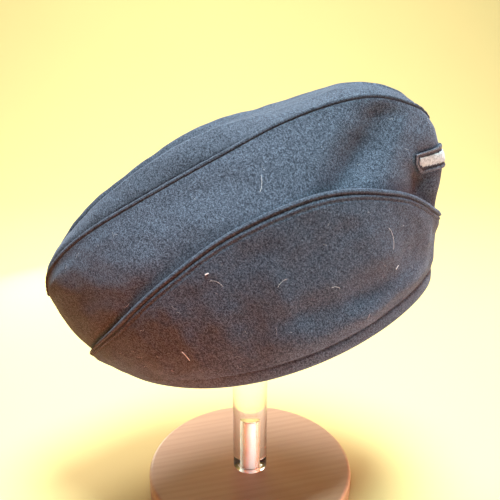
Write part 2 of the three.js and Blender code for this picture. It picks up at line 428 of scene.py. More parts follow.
    def dented(self, dents: Sequence[Dent], heading: Array, height: Array) -> Array:
        """Depth of dents in the cloth.

        Args:
            dents: The dents.
            heading: Where round the cap.
            height: Height above the rim.

        Returns:
            Depth of all of them together, in millimetres.
        """
        angle = self.from_front(heading)
        total = 0.0 * (angle + height)
        for dent in dents:
            middle = dent.height + dent.lean * (angle - dent.angle)
            total += dent.depth * ridge(angle, dent.angle, dent.wide) * ridge(height, middle, dent.tall)
        return total

    def lean(self) -> Array:
        """Matrix that turns directions on the cap, as columns, into the frame's."""
        rise, run = math.sin(math.radians(self.pitch)), math.cos(math.radians(self.pitch))
        return np.array([[run, 0.0, -rise], [0.0, 1.0, 0.0], [rise, 0.0, run]])

    def place(self, points: Array) -> Array:
        """Moves points from the cap to the frame, in metres."""
        return (points @ self.lean().T + np.array(self.centre)) * MM


# Work at the bench


def start_clear() -> None:
    """Deselects everything, so that an operator acts on new work alone."""
    bpy.ops.object.select_all(action="DESELECT")


def named(name: str) -> Piece:
    """Names the active object and its mesh.

    Args:
        name: Name of the piece.

    Returns:
        The object.
    """
    piece = bpy.context.view_layer.objects.active
    piece.name = name
    piece.data.name = name
    return piece


def pick(kind: Pick, test: Callable[[Vector, Vector], bool]) -> None:
    """Selects edges or faces of the mesh in edit mode by their place and normal.

    Args:
        kind: Which elements to select.
        test: Takes an element's middle and its normal, and tells whether to select it. An edge's
            normal is the direction along it.
    """
    bpy.ops.mesh.select_mode(type=kind.value)
    bpy.ops.mesh.select_all(action="DESELECT")
    work = bmesh.from_edit_mesh(bpy.context.edit_object.data)
    if kind is Pick.FACE:
        for face in work.faces:
            face.select_set(test(face.calc_center_median(), face.normal))
    else:
        for edge in work.edges:
            start, end = edge.verts[0].co, edge.verts[1].co
            edge.select_set(test((start + end) / 2.0, (end - start).normalized()))
    bmesh.update_edit_mesh(bpy.context.edit_object.data)


def smooth_shell(sharp: float) -> None:
    """Leaves edit mode with faces outwards, smooth but for edges sharper than an angle in degrees."""
    bpy.ops.mesh.select_all(action="SELECT")
    bpy.ops.mesh.normals_make_consistent(inside=False)
    bpy.ops.object.mode_set(mode="OBJECT")
    bpy.ops.object.shade_smooth_by_angle(angle=math.radians(sharp))


def lay_cloth(name: str, points: Array, capped: bool = True) -> Piece:
    """Lays a grid of cloth over a form and closes it into a wall.

    Args:
        name: Name of the piece.
        points: Places in metres, by column round the cap and row along the section.
        capped: Whether the wall has two open ends to fill.

    Returns:
        The piece, with a UV map in metres along and up the cloth.
    """
    columns, rows = points.shape[:2]
    start_clear()
    bpy.ops.mesh.primitive_grid_add(x_subdivisions=columns - 1, y_subdivisions=rows - 1, size=1.0)
    piece = named(name)
    mesh = piece.data
    mesh.vertices.foreach_set("co", points.transpose(1, 0, 2).reshape(-1))
    along = run_of(points[:, rows // 4])
    up = np.cumsum(np.linalg.norm(np.diff(points, axis=1), axis=2), axis=1)
    up = np.concatenate([np.zeros((columns, 1)), up], axis=1)
    flat = np.stack([np.broadcast_to(along[:, None], up.shape), up], axis=-1)
    flat = flat.transpose(1, 0, 2).reshape(-1, 2)
    corners = np.empty(len(mesh.loops), dtype=np.int32)
    mesh.loops.foreach_get("vertex_index", corners)
    mesh.uv_layers[0].data.foreach_set("uv", flat[corners].astype(np.float32).reshape(-1))
    mesh.update()
    bpy.ops.object.mode_set(mode="EDIT")
    bpy.ops.mesh.select_all(action="SELECT")
    bpy.ops.mesh.remove_doubles(threshold=0.01 * MM)
    if capped:
        bpy.ops.mesh.select_all(action="SELECT")
        bpy.ops.mesh.fill_holes(sides=0)
    smooth_shell(50.0)
    return piece


def lay_copies(model: Piece, places: Sequence[Matrix], name: str) -> Piece:
    """Lays copies of one model and joins them into a piece.

    Args:
        model: The shape that repeats, at the origin. It is removed afterwards.
        places: Where each copy goes.
        name: Name of the joined piece.

    Returns:
        The joined piece.
    """
    copies = []
    for place in places:
        one = bpy.data.objects.new(name, model.data.copy())
        one.data.transform(place)
        bpy.context.collection.objects.link(one)
        copies.append(one)
    bpy.data.objects.remove(model)
    start_clear()
    for one in copies:
        one.select_set(True)
    bpy.context.view_layer.objects.active = copies[0]
    bpy.ops.object.join()
    bpy.ops.object.shade_smooth()
    return named(name)


def stitch_model(long: float, thick: float) -> Piece:
    """Models one stitch, a short thread that dives in at both ends.

    Args:
        long: Length in millimetres, along X.
        thick: Thickness in millimetres.

    Returns:
        The stitch at the origin.
    """
    start_clear()
    bpy.ops.mesh.primitive_uv_sphere_add(segments=8, ring_count=6, radius=0.5)
    bpy.ops.object.mode_set(mode="EDIT")
    bpy.ops.mesh.select_all(action="SELECT")
    bpy.ops.transform.rotate(value=math.radians(90.0), orient_axis="Y", center_override=(0.0, 0.0, 0.0))
    bpy.ops.transform.resize(value=(long * MM, thick * MM, thick * MM))
    bpy.ops.object.mode_set(mode="OBJECT")
    return named("stitch_model")


def seat(at: Array, along: Array, out: Array, roll: float = 0.0) -> Matrix:
    """Place for a model whose X lies along a line and whose Z points out of the cloth.

    Args:
        at: Where the model's origin goes, in metres.
        along: Direction of its X.
        out: Direction of its Z, before it is made square to X.
        roll: Turn in the cloth, in degrees.

    Returns:
        The matrix of that place.
    """
    x = Vector(along).normalized()
    z = Vector(out)
    z = (z - x * z.dot(x)).normalized()
    turn = Matrix((x, z.cross(x), z)).transposed().to_4x4()
    return Matrix.Translation(Vector(at)) @ turn @ Matrix.Rotation(math.radians(roll), 4, "Z")


def dress(piece: Piece, material: bpy.types.Material, node: str = "") -> Piece:
    """Gives a piece its finish and sets it on the frame.

    Args:
        piece: The finished mesh.
        material: Its finish.
        node: Solid that it stands for, if any.

    Returns:
        The piece.
    """
    piece.data.materials.clear()
    piece.data.materials.append(material)
    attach(piece, "root")
    if node:
        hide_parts(node)
    return piece


# Finishes


class Bench:
    """Adds and joins nodes in one node tree."""

    mix_first, mix_second, mix_result = 6, 7, 2

    def __init__(self, tree: bpy.types.NodeTree) -> None:
        """Takes over a node tree and empties it."""
        self.tree = tree
        tree.nodes.clear()

    def add(self, kind: str, **settings: object) -> Node:
        """Adds a node.

        Args:
            kind: Its type.
            settings: Some of its settings.

        Returns:
            The node.
        """
        node = self.tree.nodes.new(kind)
        for name, value in settings.items():
            setattr(node, name, value)
        return node

    def feed(self, value: object, socket: Socket) -> None:
        """Links a socket to another, or sets it to a plain value.

        Args:
            value: A socket or a plain value.
            socket: The input that takes it.
        """
        if isinstance(value, Socket):
            self.tree.links.new(value, socket)
        else:
            socket.default_value = value

    def wire(self, node: Node, values: Sockets) -> None:
        """Feeds a node's inputs by name."""
        for name, value in values.items():
            self.feed(value, node.inputs[name])

    def worked(self, node: Node, *values: object) -> Socket:
        """Feeds a node's inputs in order.

        Args:
            node: The node.
            values: What it works on.

        Returns:
            Its first output.
        """
        for value, socket in zip(values, node.inputs):
            self.feed(value, socket)
        return node.outputs[0]

    def maths(self, operation: str, *values: object) -> Socket:
        """Works out a number."""
        return self.worked(self.add("ShaderNodeMath", operation=operation), *values)

    def vector(self, operation: str, *values: object) -> Socket:
        """Works out a vector."""
        return self.worked(self.add("ShaderNodeVectorMath", operation=operation), *values)

    def weigh(self, first: Socket, weight: float, second: Socket, other: float) -> Socket:
        """Adds two values, each times its weight."""
        first, second = self.maths("MULTIPLY", first, weight), self.maths("MULTIPLY", second, other)
        return self.maths("ADD", first, second)

    def remap(self, value: Socket, span: Span, to: Span = (0.0, 1.0)) -> Socket:
        """Takes a value from one span to another, smoothly and within its ends."""
        node = self.add("ShaderNodeMapRange", interpolation_type="SMOOTHSTEP")
        return self.worked(node, value, *span, *to)

    def blend(self, share: Socket, first: object, second: object) -> Socket:
        """Blends two colours.

        Args:
            share: Share of the second.
            first: A colour.
            second: Another one.

        Returns:
            The blend.
        """
        node = self.add("ShaderNodeMix", data_type="RGBA")
        self.feed(share, node.inputs["Factor"])
        self.feed(first, node.inputs[self.mix_first])
        self.feed(second, node.inputs[self.mix_second])
        return node.outputs[self.mix_result]

    def parts(self, place: Socket) -> bpy.types.NodeOutputs:
        """X, Y and Z of a place.

        Args:
            place: The place.

        Returns:
            The three outputs.
        """
        node = self.add("ShaderNodeSeparateXYZ")
        self.feed(place, node.inputs[0])
        return node.outputs

    def place(self) -> Socket:
        """Place on the piece."""
        return self.add("ShaderNodeTexCoord").outputs["Object"]

    def cloud(self, place: Socket, scale: float, detail: float = 2.0, rough: float = 0.5) -> Node:
        """Adds cloudy noise.

        Args:
            place: Where it is read.
            scale: How fine it is.
            detail: How many finer layers it has.
            rough: How strong they are.

        Returns:
            The noise.
        """
        node = self.add("ShaderNodeTexNoise")
        self.wire(node, {"Vector": place, "Scale": scale, "Detail": detail, "Roughness": rough})
        return node

    def noise(self, place: Socket, scale: float, detail: float = 2.0, rough: float = 0.5) -> Socket:
        """Value of cloudy noise at a place."""
        return self.cloud(place, scale, detail, rough).outputs["Fac"]

    def stretch(self, place: Socket, *ways: float) -> Socket:
        """A place with each way times its own number, so that a pattern is drawn out."""
        return self.vector("MULTIPLY", place, ways)

    def bump(self, height: Socket, distance: float) -> Socket:
        """Roughens the surface.

        Args:
            height: Height, from 0 to 1.
            distance: How high 1 is, in metres.

        Returns:
            The normal.
        """
        node = self.add("ShaderNodeBump")
        self.wire(node, {"Distance": distance, "Height": height})
        return node.outputs["Normal"]


class Group(Enum):
    """Shader effects that more than one finish uses."""

    NAP = "wool_nap"
    GRAIN = "wood_grain"


def open_group(kind: Group, takes: Sequence[str], gives: Sequence[str]) -> tuple[Bench, Node, Node]:
    """Starts a shader node group that is read at a place.

    Args:
        kind: Which group it is.
        takes: Names of its values, besides the place.
        gives: Names of its outputs.

    Returns:
        The bench, the input node and the output node.
    """
    tree = bpy.data.node_groups.new(kind.value, "ShaderNodeTree")
    bench = Bench(tree)
    tree.interface.new_socket("Place", in_out="INPUT", socket_type="NodeSocketVector")
    for name in takes:
        tree.interface.new_socket(name, in_out="INPUT", socket_type="NodeSocketFloat")
    for name in gives:
        tree.interface.new_socket(name, in_out="OUTPUT", socket_type="NodeSocketFloat")
    return bench, bench.add("NodeGroupInput"), bench.add("NodeGroupOutput")


def nap_group() -> bpy.types.NodeTree:
    """Makes the nap of a fulled cloth: short fibres lying every way, and soft mottling.

    Returns:
        The node group.
    """
    takes = ("Fibre Length", "Fibre Width")
    bench, given, out = open_group(Group.NAP, takes, ("Fibres", "Mottle", "Height"))
    place, long, wide = (given.outputs[name] for name in ("Place", *takes))
    sway = bench.cloud(place, scale=420.0, detail=1.0).outputs["Color"]
    swayed = bench.vector("MULTIPLY_ADD", sway, (0.0011, 0.0011, 0.0), place)
    fibres = None
    for index, angle in enumerate((0.15, 0.85, 1.4, 2.05, 2.65)):
        turn = bench.add("ShaderNodeVectorRotate", rotation_type="Z_AXIS")
        bench.wire(turn, {"Vector": swayed, "Angle": angle})
        ways = bench.parts(turn.outputs[0])
        cell = bench.add("ShaderNodeCombineXYZ")
        along = bench.maths("DIVIDE", ways["X"], long)
        across = bench.maths("DIVIDE", ways["Y"], wide)
        layer = bench.noise(bench.worked(cell, along, across, 3.7 * index), scale=1.0, detail=0.0)
        layer = bench.remap(layer, (0.6, 0.78))
        fibres = layer if fibres is None else bench.maths("MAXIMUM", fibres, layer)
    fine = bench.noise(place, scale=160.0, detail=4.0, rough=0.6)
    pile = bench.noise(place, scale=900.0, rough=0.6)
    mottle = bench.weigh(fine, 0.6, bench.noise(place, scale=32.0), 0.4)
    bench.wire(out, {"Fibres": fibres, "Mottle": mottle, "Height": bench.weigh(fibres, 0.5, pile, 0.5)})
    return bench.tree


def grain_group() -> bpy.types.NodeTree:
    """Makes straight wood grain along X: growth lines, streaks and pores.

    Returns:
        The node group.
    """
    bench, given, out = open_group(Group.GRAIN, ("Line Spacing",), ("Lines", "Streaks", "Pores"))
    place = given.outputs["Place"]
    drift = bench.maths("MULTIPLY", bench.noise(bench.stretch(place, 0.08, 1.0, 1.0), scale=60.0), 0.012)
    across = bench.maths("ADD", bench.parts(place)["Y"], drift)
    turns = bench.maths("DIVIDE", across, given.outputs["Line Spacing"])
    wave = bench.maths("SINE", bench.maths("MULTIPLY", turns, FULL_TURN))
    streaks = bench.noise(bench.stretch(place, 0.05, 1.0, 1.0), scale=420.0, detail=3.0, rough=0.6)
    fine = bench.noise(bench.stretch(place, 0.06, 1.0, 1.0), scale=1500.0, detail=1.0)
    lines = bench.remap(wave, (-0.6, 1.0))
    bench.wire(out, {"Lines": lines, "Streaks": streaks, "Pores": bench.remap(fine, (0.6, 0.72))})
    return bench.tree


def use_group(bench: Bench, kind: Group, values: Sockets) -> bpy.types.NodeOutputs:
    """Places a shared effect in a material.

    Args:
        bench: The material's bench.
        kind: Which effect.
        values: What feeds its inputs.

    Returns:
        The effect's outputs.
    """
    makers = {Group.NAP: nap_group, Group.GRAIN: grain_group}
    tree = bpy.data.node_groups.get(kind.value) or makers[kind]()
    node = bench.add("ShaderNodeGroup", node_tree=tree)
    bench.wire(node, values)
    return node.outputs


class Finish:
    """A finish of one material with a Principled BSDF."""

    name: str

    def sockets(self, bench: Bench) -> Sockets:
        """Works out what feeds the shader's inputs, by name."""
        raise NotImplementedError

    def material(self) -> bpy.types.Material:
        """Makes the material.

        Returns:
            The material.
        """
        material = bpy.data.materials.new(self.name)
        material.use_nodes = True
        bench = Bench(material.node_tree)
        shader = bench.add("ShaderNodeBsdfPrincipled")
        bench.wire(bench.add("ShaderNodeOutputMaterial"), {"Surface": shader.outputs[0]})
        bench.wire(shader, self.sockets(bench))
        return material


@dataclass(frozen=True)
class Wool(Finish):
    """Fulled wool with a short nap of pale and dark fibres."""

    name: str = "wool_nap_cloth"
    ground: Colour = (0.0115, 0.0142, 0.0205, 1.0)
    fibre: Colour = (0.098, 0.118, 0.15, 1.0)
    fibre_length: float = 0.0015
    fibre_width: float = 0.0003
    fibre_share: float = 0.8
    nap: float = 0.0001
    sheen: float = 0.14
    sheen_rough: float = 0.45
    sheen_tint: Colour = (0.75, 0.83, 1.0, 1.0)

    def sockets(self, bench: Bench) -> Sockets:
        """Lays the nap along the cloth's own UV map.

        Args:
            bench: The material's bench.

        Returns:
            What feeds the shader's inputs.
        """
        place = bench.add("ShaderNodeUVMap", uv_map="UVMap").outputs[0]
        sizes = {"Place": place, "Fibre Length": self.fibre_length, "Fibre Width": self.fibre_width}
        nap = use_group(bench, Group.NAP, sizes)
        share = bench.maths("MULTIPLY", nap["Fibres"], self.fibre_share)
        share = bench.maths("MULTIPLY", share, bench.remap(nap["Mottle"], (0.3, 0.7), (0.88, 1.1)))
        return {
            "Base Color": bench.blend(share, self.ground, self.fibre),
            "Roughness": bench.remap(nap["Fibres"], (0.0, 1.0), (0.96, 0.82)),
            "Normal": bench.bump(nap["Height"], self.nap),
            "Specular IOR Level": 0.25,
            "Sheen Weight": self.sheen,
            "Sheen Roughness": self.sheen_rough,
            "Sheen Tint": self.sheen_tint,
        }


@dataclass(frozen=True)
class Thread(Finish):
    """Sewing thread or fibre, with a faint twist."""

    name: str
    dark: Colour
    light: Colour
    rough: float = 0.75
    twist: float = 0.00012

    def sockets(self, bench: Bench) -> Sockets:
        """Mixes the thread's two colours along its twist.

        Args:
            bench: The material's bench.

        Returns:
            What feeds the shader's inputs.
        """
        place = bench.place()
        twist = bench.noise(bench.stretch(place, 1.0, 1.0, 0.25), scale=2600.0, detail=1.0)
        share = bench.weigh(bench.noise(place, scale=700.0, rough=0.6), 0.6, twist, 0.4)
        return {
            "Base Color": bench.blend(bench.remap(share, (0.35, 0.65)), self.dark, self.light),
            "Roughness": bench.remap(share, (0.3, 0.7), (self.rough + 0.1, self.rough - 0.1)),
            "Normal": bench.bump(twist, self.twist),
            "Specular IOR Level": 0.3,
            "Sheen Weight": 0.2,
        }


@dataclass(frozen=True)
class Wood(Finish):
    """Wood with straight grain, bare or under lacquer."""

    name: str
    dark: Colour
    light: Colour
    spacing: float
    rough: float
    lacquer: float
    grain_turn: float = -12.0
    pore: float = 0.00006

    def sockets(self, bench: Bench) -> Sockets:
        """Lays the grain across the piece.

        Args:
            bench: The material's bench.

        Returns:
            What feeds the shader's inputs.
        """
        turn = bench.add("ShaderNodeMapping")
        bench.wire(turn, {"Vector": bench.place(), "Rotation": (0.0, 0.0, math.radians(self.grain_turn))})
        grain = use_group(bench, Group.GRAIN, {"Place": turn.outputs[0], "Line Spacing": self.spacing})
        mixed = bench.weigh(grain["Lines"], 0.45, grain["Streaks"], 0.75)
        colour = bench.blend(bench.remap(mixed, (0.2, 0.95)), self.light, self.dark)
        return {
            "Base Color": bench.blend(bench.maths("MULTIPLY", grain["Pores"], 0.5), colour, self.dark),
            "Roughness": bench.remap(grain["Streaks"], (0.3, 0.7), (self.rough - 0.06, self.rough + 0.08)),
            "Normal": bench.bump(grain["Pores"], -self.pore),
            "Coat Weight": self.lacquer,
            "Coat Roughness": 0.16,
        }


@dataclass(frozen=True)
class Acrylic(Finish):
    """Clear polished acrylic with faint handling marks and a bore that the drill left frosted."""

    name: str = "clear_acrylic_rod"
    tint: Colour = (1.0, 1.0, 0.985, 1.0)
    # frost is the bore wall's colour: a cyan tint that is painted light, offsetting the red lamps' light on
    # the peg seen through the bore.
    frost: Colour = (0.7, 0.98, 0.98, 1.0)
    frost_rough: float = 0.6
    bore: Span = (0.0047, 0.006)
    bore_top: Span = (0.0572, 0.0581)

    def sockets(self, bench: Bench) -> Sockets:
        """Polishes the rod but for the wall of its bore.

        Args:
            bench: The material's bench.

        Returns:
            What feeds the shader's inputs.
        """
        place = bench.place()
        ways = bench.parts(place)
        along, across = (bench.maths("MULTIPLY", ways[axis], ways[axis]) for axis in "XY")
        near, far = (radius * radius for radius in self.bore)
        clear = bench.remap(bench.maths("ADD", along, across), (near, far))
        clear = bench.maths("MAXIMUM", clear, bench.remap(ways["Z"], self.bore_top))
        marks = bench.noise(bench.stretch(place, 1.0, 1.0, 0.2), scale=160.0, detail=3.0, rough=0.6)
        polish = bench.remap(marks, (0.45, 0.75), (0.02, 0.09))
        frost = bench.remap(clear, (0.0, 1.0), (self.frost_rough, 0.0))
        return {
            # The bore wall takes the cyan frost tint, painted light against the red lamps; the rest of the
            # rod stays clear.
            "Base Color": bench.blend(clear, self.frost, self.tint),
            "Roughness": bench.maths("MAXIMUM", polish, frost),
            "IOR": 1.49,
            "Transmission Weight": 1.0,
        }


@dataclass(frozen=True)
class Paper(Finish):
    """Pale studio paper with a faint tooth."""

    name: str = "studio_paper"
    light: Colour = (0.52, 0.41, 0.17, 1.0)
    dark: Colour = (0.51, 0.39, 0.16, 1.0)

    def sockets(self, bench: Bench) -> Sockets:
        """Clouds the paper faintly."""
        cloud = bench.noise(bench.place(), scale=3.0, detail=3.0)
        colour = bench.blend(cloud, self.dark, self.light)
        return {"Base Color": colour, "Roughness": 0.95, "Specular IOR Level": 0.1}


# Pieces of the cap


@dataclass
class TopPanel:
    """The creased top panel with the corded welt of its seam."""

    form: CapForm
    finish: bpy.types.Material
    columns: int = 560
    edge_shares: tuple[float, ...] = (0.06, 0.1, 0.15, 0.2)
    outer_shares: Span = (0.25, 1.0)
    outer_rows: int = 22
    inner_shares: Span = (0.12, 1.0)
    inner_rows: int = 8
    last_share: float = 0.98
    cord_out: float = 1.15
    cord_up: float = 1.45
    cord_sink: float = 0.15
    cord_centre: float = 0.2
    cord_turn: Span = (-62.0, 112.0)
    cord_rows: int = 12
    pucker: float = 0.16
    pucker_pitch: float = 4.2
    pucker_drift: Ripple = Ripple(height=2.0, length=25.0, seed=14)
    pucker_change: Ripple = Ripple(height=0.5, length=40.0, seed=15)
    groove: Line = Line(at=0.9, width=1.1, rise=-0.25)
    crease: float = 0.4
    crease_width: float = 1.6
    uneven: tuple[Ripple, ...] = (Ripple(0.5, 34.0, 11), Ripple(0.2, 13.0, 12))
    held: Span = (1.5, 7.0)
    lip: Section = ((-2.0, 0.9), (-2.0, 0.0), (-2.0, -0.9), (-0.9, -0.95))

    def headings(self) -> Array:
        """Headings all the way round."""
        left, right = (self.form.headings(half, self.columns // 2 + 1) for half in Half)
        return np.concatenate([left, right[1:]])

    def panel(self, heading: Array, share: Array) -> Array:
        """Outside of the top panel with its groove beside the welt, its crease and its unevenness.

        Args:
            heading: Where round the cap.
            share: Share of the way from the seam to the centre line.

        Returns:
            Points in millimetres.
        """
        form = self.form
        base = form.crown(heading, share)
        width = np.linalg.norm(form.crown(heading, 1.0) - form.crown(heading, 0.0), axis=-1)
        inward = share * width
        relief = self.groove.over(inward)
        relief += self.crease * ridge(inward, form.ridge_share * width, self.crease_width)
        quiet = soft_step(inward, *self.held) * (1.0 - 0.6 * soft_step(share, 0.85, 1.0))
        relief += quiet * sum(ripple.at(base) for ripple in self.uneven)
        normal = form.normal(form.crown, heading, np.minimum(share, self.last_share))
        centre = soft_step(share, 0.9, 1.0)[..., None]
        normal = unit(normal * (1.0 - centre) + UP * centre)
        point = base + normal * relief[..., None]
        point[..., 1] = np.where(share >= 1.0, 0.0, point[..., 1])
        return point

    def welt(self, heading: Array, turn: Array) -> Array:
        """Rounded cord of the seam, gathered a little by its stitches.

        Args:
            heading: Where round the cap.
            turn: Where round the cord, in radians from straight out.

        Returns:
            Points in millimetres.
        """
        place = self.form.side(heading, 1.0)
        run = run_of(place[:, 0])[:, None]
        gather = np.sin(FULL_TURN * run / self.pucker_pitch + self.pucker_drift.at(place))
        fullness = 1.0 + self.pucker * gather * (0.5 + self.pucker_change.at(place))
        out = -self.cord_sink + self.cord_out * fullness * np.cos(turn)
        up = self.cord_centre + self.cord_up * fullness * np.sin(turn)
        return self.form.off_seam(heading, out, up)

    def build(self) -> Piece:
        """Builds the panel as a closed wall of cloth.

        Returns:
            The piece.
        """
        form = self.form
        heading = self.headings()[:, None]
        inside = row(*self.inner_shares, self.inner_rows)
        normal = form.normal(form.crown, heading, np.minimum(inside, self.last_share))
        normal = np.where(inside[..., None] < 1.0, normal, UP)
        inner = form.crown(heading, inside) - normal * form.cloth
        inner[..., 1] = np.where(inside >= 1.0, 0.0, inner[..., 1])
        lip = form.off_seam(heading, *section(self.lip))
        cord = self.welt(heading, arc(*self.cord_turn, self.cord_rows))
        outside = np.concatenate([self.edge_shares, np.linspace(*self.outer_shares, self.outer_rows)])
        top = self.panel(heading, outside[None, :])
        points = np.concatenate([inner[:, ::-1], lip, cord, top], axis=1)
        points[-1] = points[0]
        piece = lay_cloth("top_panel", form.place(points), capped=False)
        return dress(piece, self.finish, "top_gusset")


@dataclass
class SidePanels:
    """The two wool sides, from the rim up to the crown seam."""

    form: CapForm
    finish: bpy.types.Material
    columns: int = 240
    rows: int = 60
    inner_rows: int = 14
    outer_stop: float = 4.0
    inner_stop: float = 5.0
    seam_dip: Line = Line(at=0.0, width=1.1, rise=0.7)
    uneven: tuple[Ripple, ...] = (Ripple(0.7, 36.0, 21), Ripple(0.22, 15.0, 22))
    held: Span = (1.0, 11.0)
    covered: Span = (-4.0, 14.0)
    lip: Section = ((0.2, -2.1), (0.15, -1.5), (-0.3, -1.2), (-1.1, -1.4), (-2.0, -3.3))
    dents: tuple[Dent, ...] = (
        Dent(angle=55, height=104, wide=18, tall=15, depth=10.5, lean=-1.0),
        Dent(angle=27, height=62, wide=15, tall=27, depth=9.0),
        Dent(angle=122, height=78, wide=14, tall=10, depth=-0.8),
        Dent(angle=142, height=77, wide=26, tall=14, depth=-2.2),
    )

    def relief(self, heading: Array, height: Array) -> Array:
        """Height of the soft cloth over a smooth side.

        Args:
            heading: Where round the cap.
            height: Height above the rim.

        Returns:
            The relief in millimetres.
        """
        form = self.form
        base = form.off_side(heading, height, 0.0)
        loose = soft_step(form.rib("seam", heading) - height, *self.held)
        free = soft_step(height - form.rib("edge", heading), *self.covered)
        uneven = sum(ripple.at(base) for ripple in self.uneven)
        hollow = form.dented(self.dents, heading, height)
        return loose * (free * (uneven + np.maximum(-hollow, 0.0)) - np.maximum(hollow, 0.0))

    def outside(self, heading: Array, height: Array, lift: float = 0.0) -> Array:
        """Outside of a side with its soft hollows and the dip along its end seams.

        Args:
            heading: Where round the cap.
            height: Height above the rim.
            lift: Extra distance off it.

        Returns:
            Points in millimetres.
        """
        dip = self.seam_dip.over(self.form.off_side(heading, height, 0.0)[..., 1])
        return self.form.off_side(heading, height, self.relief(heading, height) - dip + lift)

    def build(self, half: Half, name: str, node: str) -> Piece:
        """Builds one side as a closed wall of cloth.

        Args:
            half: Which side.
            name: Name of the piece.
            node: Solid that it stands for.

        Returns:
            The piece.
        """
        form = self.form
        heading = form.headings(half, self.columns)[:, None]
        seam = form.rib("seam", heading)
        outer_height = form.tuck + (seam - self.outer_stop - form.tuck) * row(0.0, 1.0, self.rows)
        inner_height = form.tuck + (seam - self.inner_stop - form.tuck) * row(1.0, 0.0, self.inner_rows)
        outer = self.outside(heading, outer_height)
        lip = form.off_seam(heading, *section(self.lip))
        inner = self.outside(heading, inner_height, -form.cloth)
        points = np.concatenate([outer, lip, inner, outer[:, :1]], axis=1)
        piece = lay_cloth(name, form.place(form.keep_half(points, half)))
        return dress(piece, self.finish, node)


@dataclass
class TurnUp:
    """The turned-up flap: fold round the rim, face with its grooves, and rolled free edge."""

    form: CapForm
    finish: bpy.types.Material
    columns: int = 330
    face_rows: int = 26
    inner_rows: int = 12
    fold_level: float = 1.3
    fold_drop: float = 2.5
    fold_centre: float = 0.65
    fold_out: float = 2.9
    fold_in: float = 2.65
    roll_drop: float = 1.9
    roll_top: Line = Line(at=1.2, width=1.3, rise=0.45)
    roll_groove: Line = Line(at=3.1, width=0.75, rise=-1.0)
    hem_swell: Line = Line(at=4.6, width=1.0, rise=0.2)
    hem_groove: Line = Line(at=6.1, width=0.65, rise=-0.5)
    rim_line: float = 9.5
    rim_groove: float = 0.7
    rim_groove_width: float = 0.8
    rim_swell: float = 0.45
    rim_swell_width: float = 3.0
    seam_dip: Line = Line(at=0.0, width=1.3, rise=0.9)
    full_width: float = 55.0
    least_share: float = 0.42
    drawn_from: Span = (95.0, 140.0)
    sewn_until: Span = (82.0, 115.0)
    free_of_hem: Span = (6.5, 16.0)
    free_of_rim: Span = (8.0, 18.0)
    uneven: tuple[Ripple, ...] = (Ripple(0.75, 38.0, 31), Ripple(0.22, 15.0, 32))
    fine: Ripple = Ripple(0.1, 9.0, 33)
    rim_rows: tuple[float, ...] = (-6.5, -4.5, -2.6, -1.6, -1.0, -0.5, 0.0, 0.5, 1.0, 1.6, 2.6)
    hem_rows: tuple[float, ...] = (9.0, 7.8, 7.2, 6.8, 6.4, 6.1, 5.8, 5.4, 5.0)
    roll_rows: tuple[float, ...] = (4.5, 4.1, 3.7, 3.4, 3.1, 2.8, 2.5, 2.2)
    tucked: Section = ((4.7, 0.2), (4.7, -1.7), (4.2, -2.0), (2.8, -2.0))
    dents: tuple[Dent, ...] = (
        Dent(angle=26, height=40, wide=4, tall=18, depth=-0.9),
        Dent(angle=38, height=45, wide=8, tall=18, depth=0.6),
        Dent(angle=15, height=16, wide=6, tall=7, depth=-1.0),
        Dent(angle=66, height=33, wide=26, tall=8, depth=3.0, lean=0.2),
        Dent(angle=52, height=20, wide=26, tall=8, depth=-3.2),
        Dent(angle=130, height=24, wide=10, tall=10, depth=-0.5),
    )

    def squeeze(self, heading: Array) -> Array:
        """How far the hems narrow where the flap runs out at the back."""
        return np.clip(self.form.rib("edge", heading) / self.full_width, self.least_share, 1.0)

    def flare(self, heading: Array) -> Array:
        """How far the free edge stands off the side, less towards the back where it is drawn down."""
        drawn = soft_step(self.form.from_front(heading), *self.drawn_from)
        return self.form.rib("flare", heading) * (1.0 - 0.85 * drawn)

    def stand(self, heading: Array, height: Array) -> Array:
        """How far the flap stands off the side at a height, more towards its free edge."""
        tuck = self.form.tuck
        reach = np.clip((height - tuck) / (self.form.rib("edge", heading) - tuck), 0.0, 1.0)
        return self.flare(heading) * reach**2

    def rim_height(self, heading: Array) -> Array:
        """Height of the sewn line along the rim."""
        return self.rim_line * self.squeeze(heading)

    def hem_height(self, heading: Array) -> Array:
        """Height of the sewn line along the free edge."""
        return self.form.rib("edge", heading) - self.hem_groove.at * self.squeeze(heading)

    def relief(self, heading: Array, height: Array) -> Array:
        """Height of the flap's outer face over a smooth one.

        Args:
            heading: Where round the cap.
            height: Height above the rim.

        Returns:
            The relief in millimetres.
        """
        form = self.form
        below = (form.rib("edge", heading) - height) / self.squeeze(heading)
        base = form.off_side(heading, height, form.turn_up)
        lines = (self.roll_top, self.roll_groove, self.hem_swell, self.hem_groove)
        shape = sum(line.over(below) for line in lines)
        low = self.rim_height(heading)
        sewn = 1.0 - 0.8 * soft_step(form.from_front(heading), *self.sewn_until)
        shape -= self.rim_groove * sewn * ridge(height, low, self.rim_groove_width)
        shape += self.rim_swell * sewn * ridge(height, low * 0.5, self.rim_swell_width)
        room = soft_step(below, *self.free_of_hem) * soft_step(height, *self.free_of_rim)
        soft = sum(ripple.at(base) for ripple in self.uneven) - form.dented(self.dents, heading, height)
        shape += room * soft + self.fine.at(base)
        return shape - self.seam_dip.over(base[..., 1])

    def face(self, heading: Array, height: Array, lift: float = 0.0) -> Array:
        """Outer face of the flap.

        Args:
            heading: Where round the cap.
            height: Height above the rim.
            lift: Extra distance off it.

        Returns:
            Points in millimetres.
        """
        form = self.form
        off = form.gap + form.turn_up + self.stand(heading, height) + self.relief(heading, height) + lift
        return form.off_side(heading, height, off)

    def fold(self, heading: Array, turn: Array, reach: float) -> Array:
        """Cloth folded round the rim.

        Args:
            heading: Where round the cap.
            turn: Where round the fold, in radians from straight out.
            reach: How far the fold stands out on this side.

        Returns:
            Points in millimetres.
        """
        height = self.fold_level + self.fold_drop * np.sin(turn)
        return self.form.off_side(heading, height, self.fold_centre + reach * np.cos(turn))

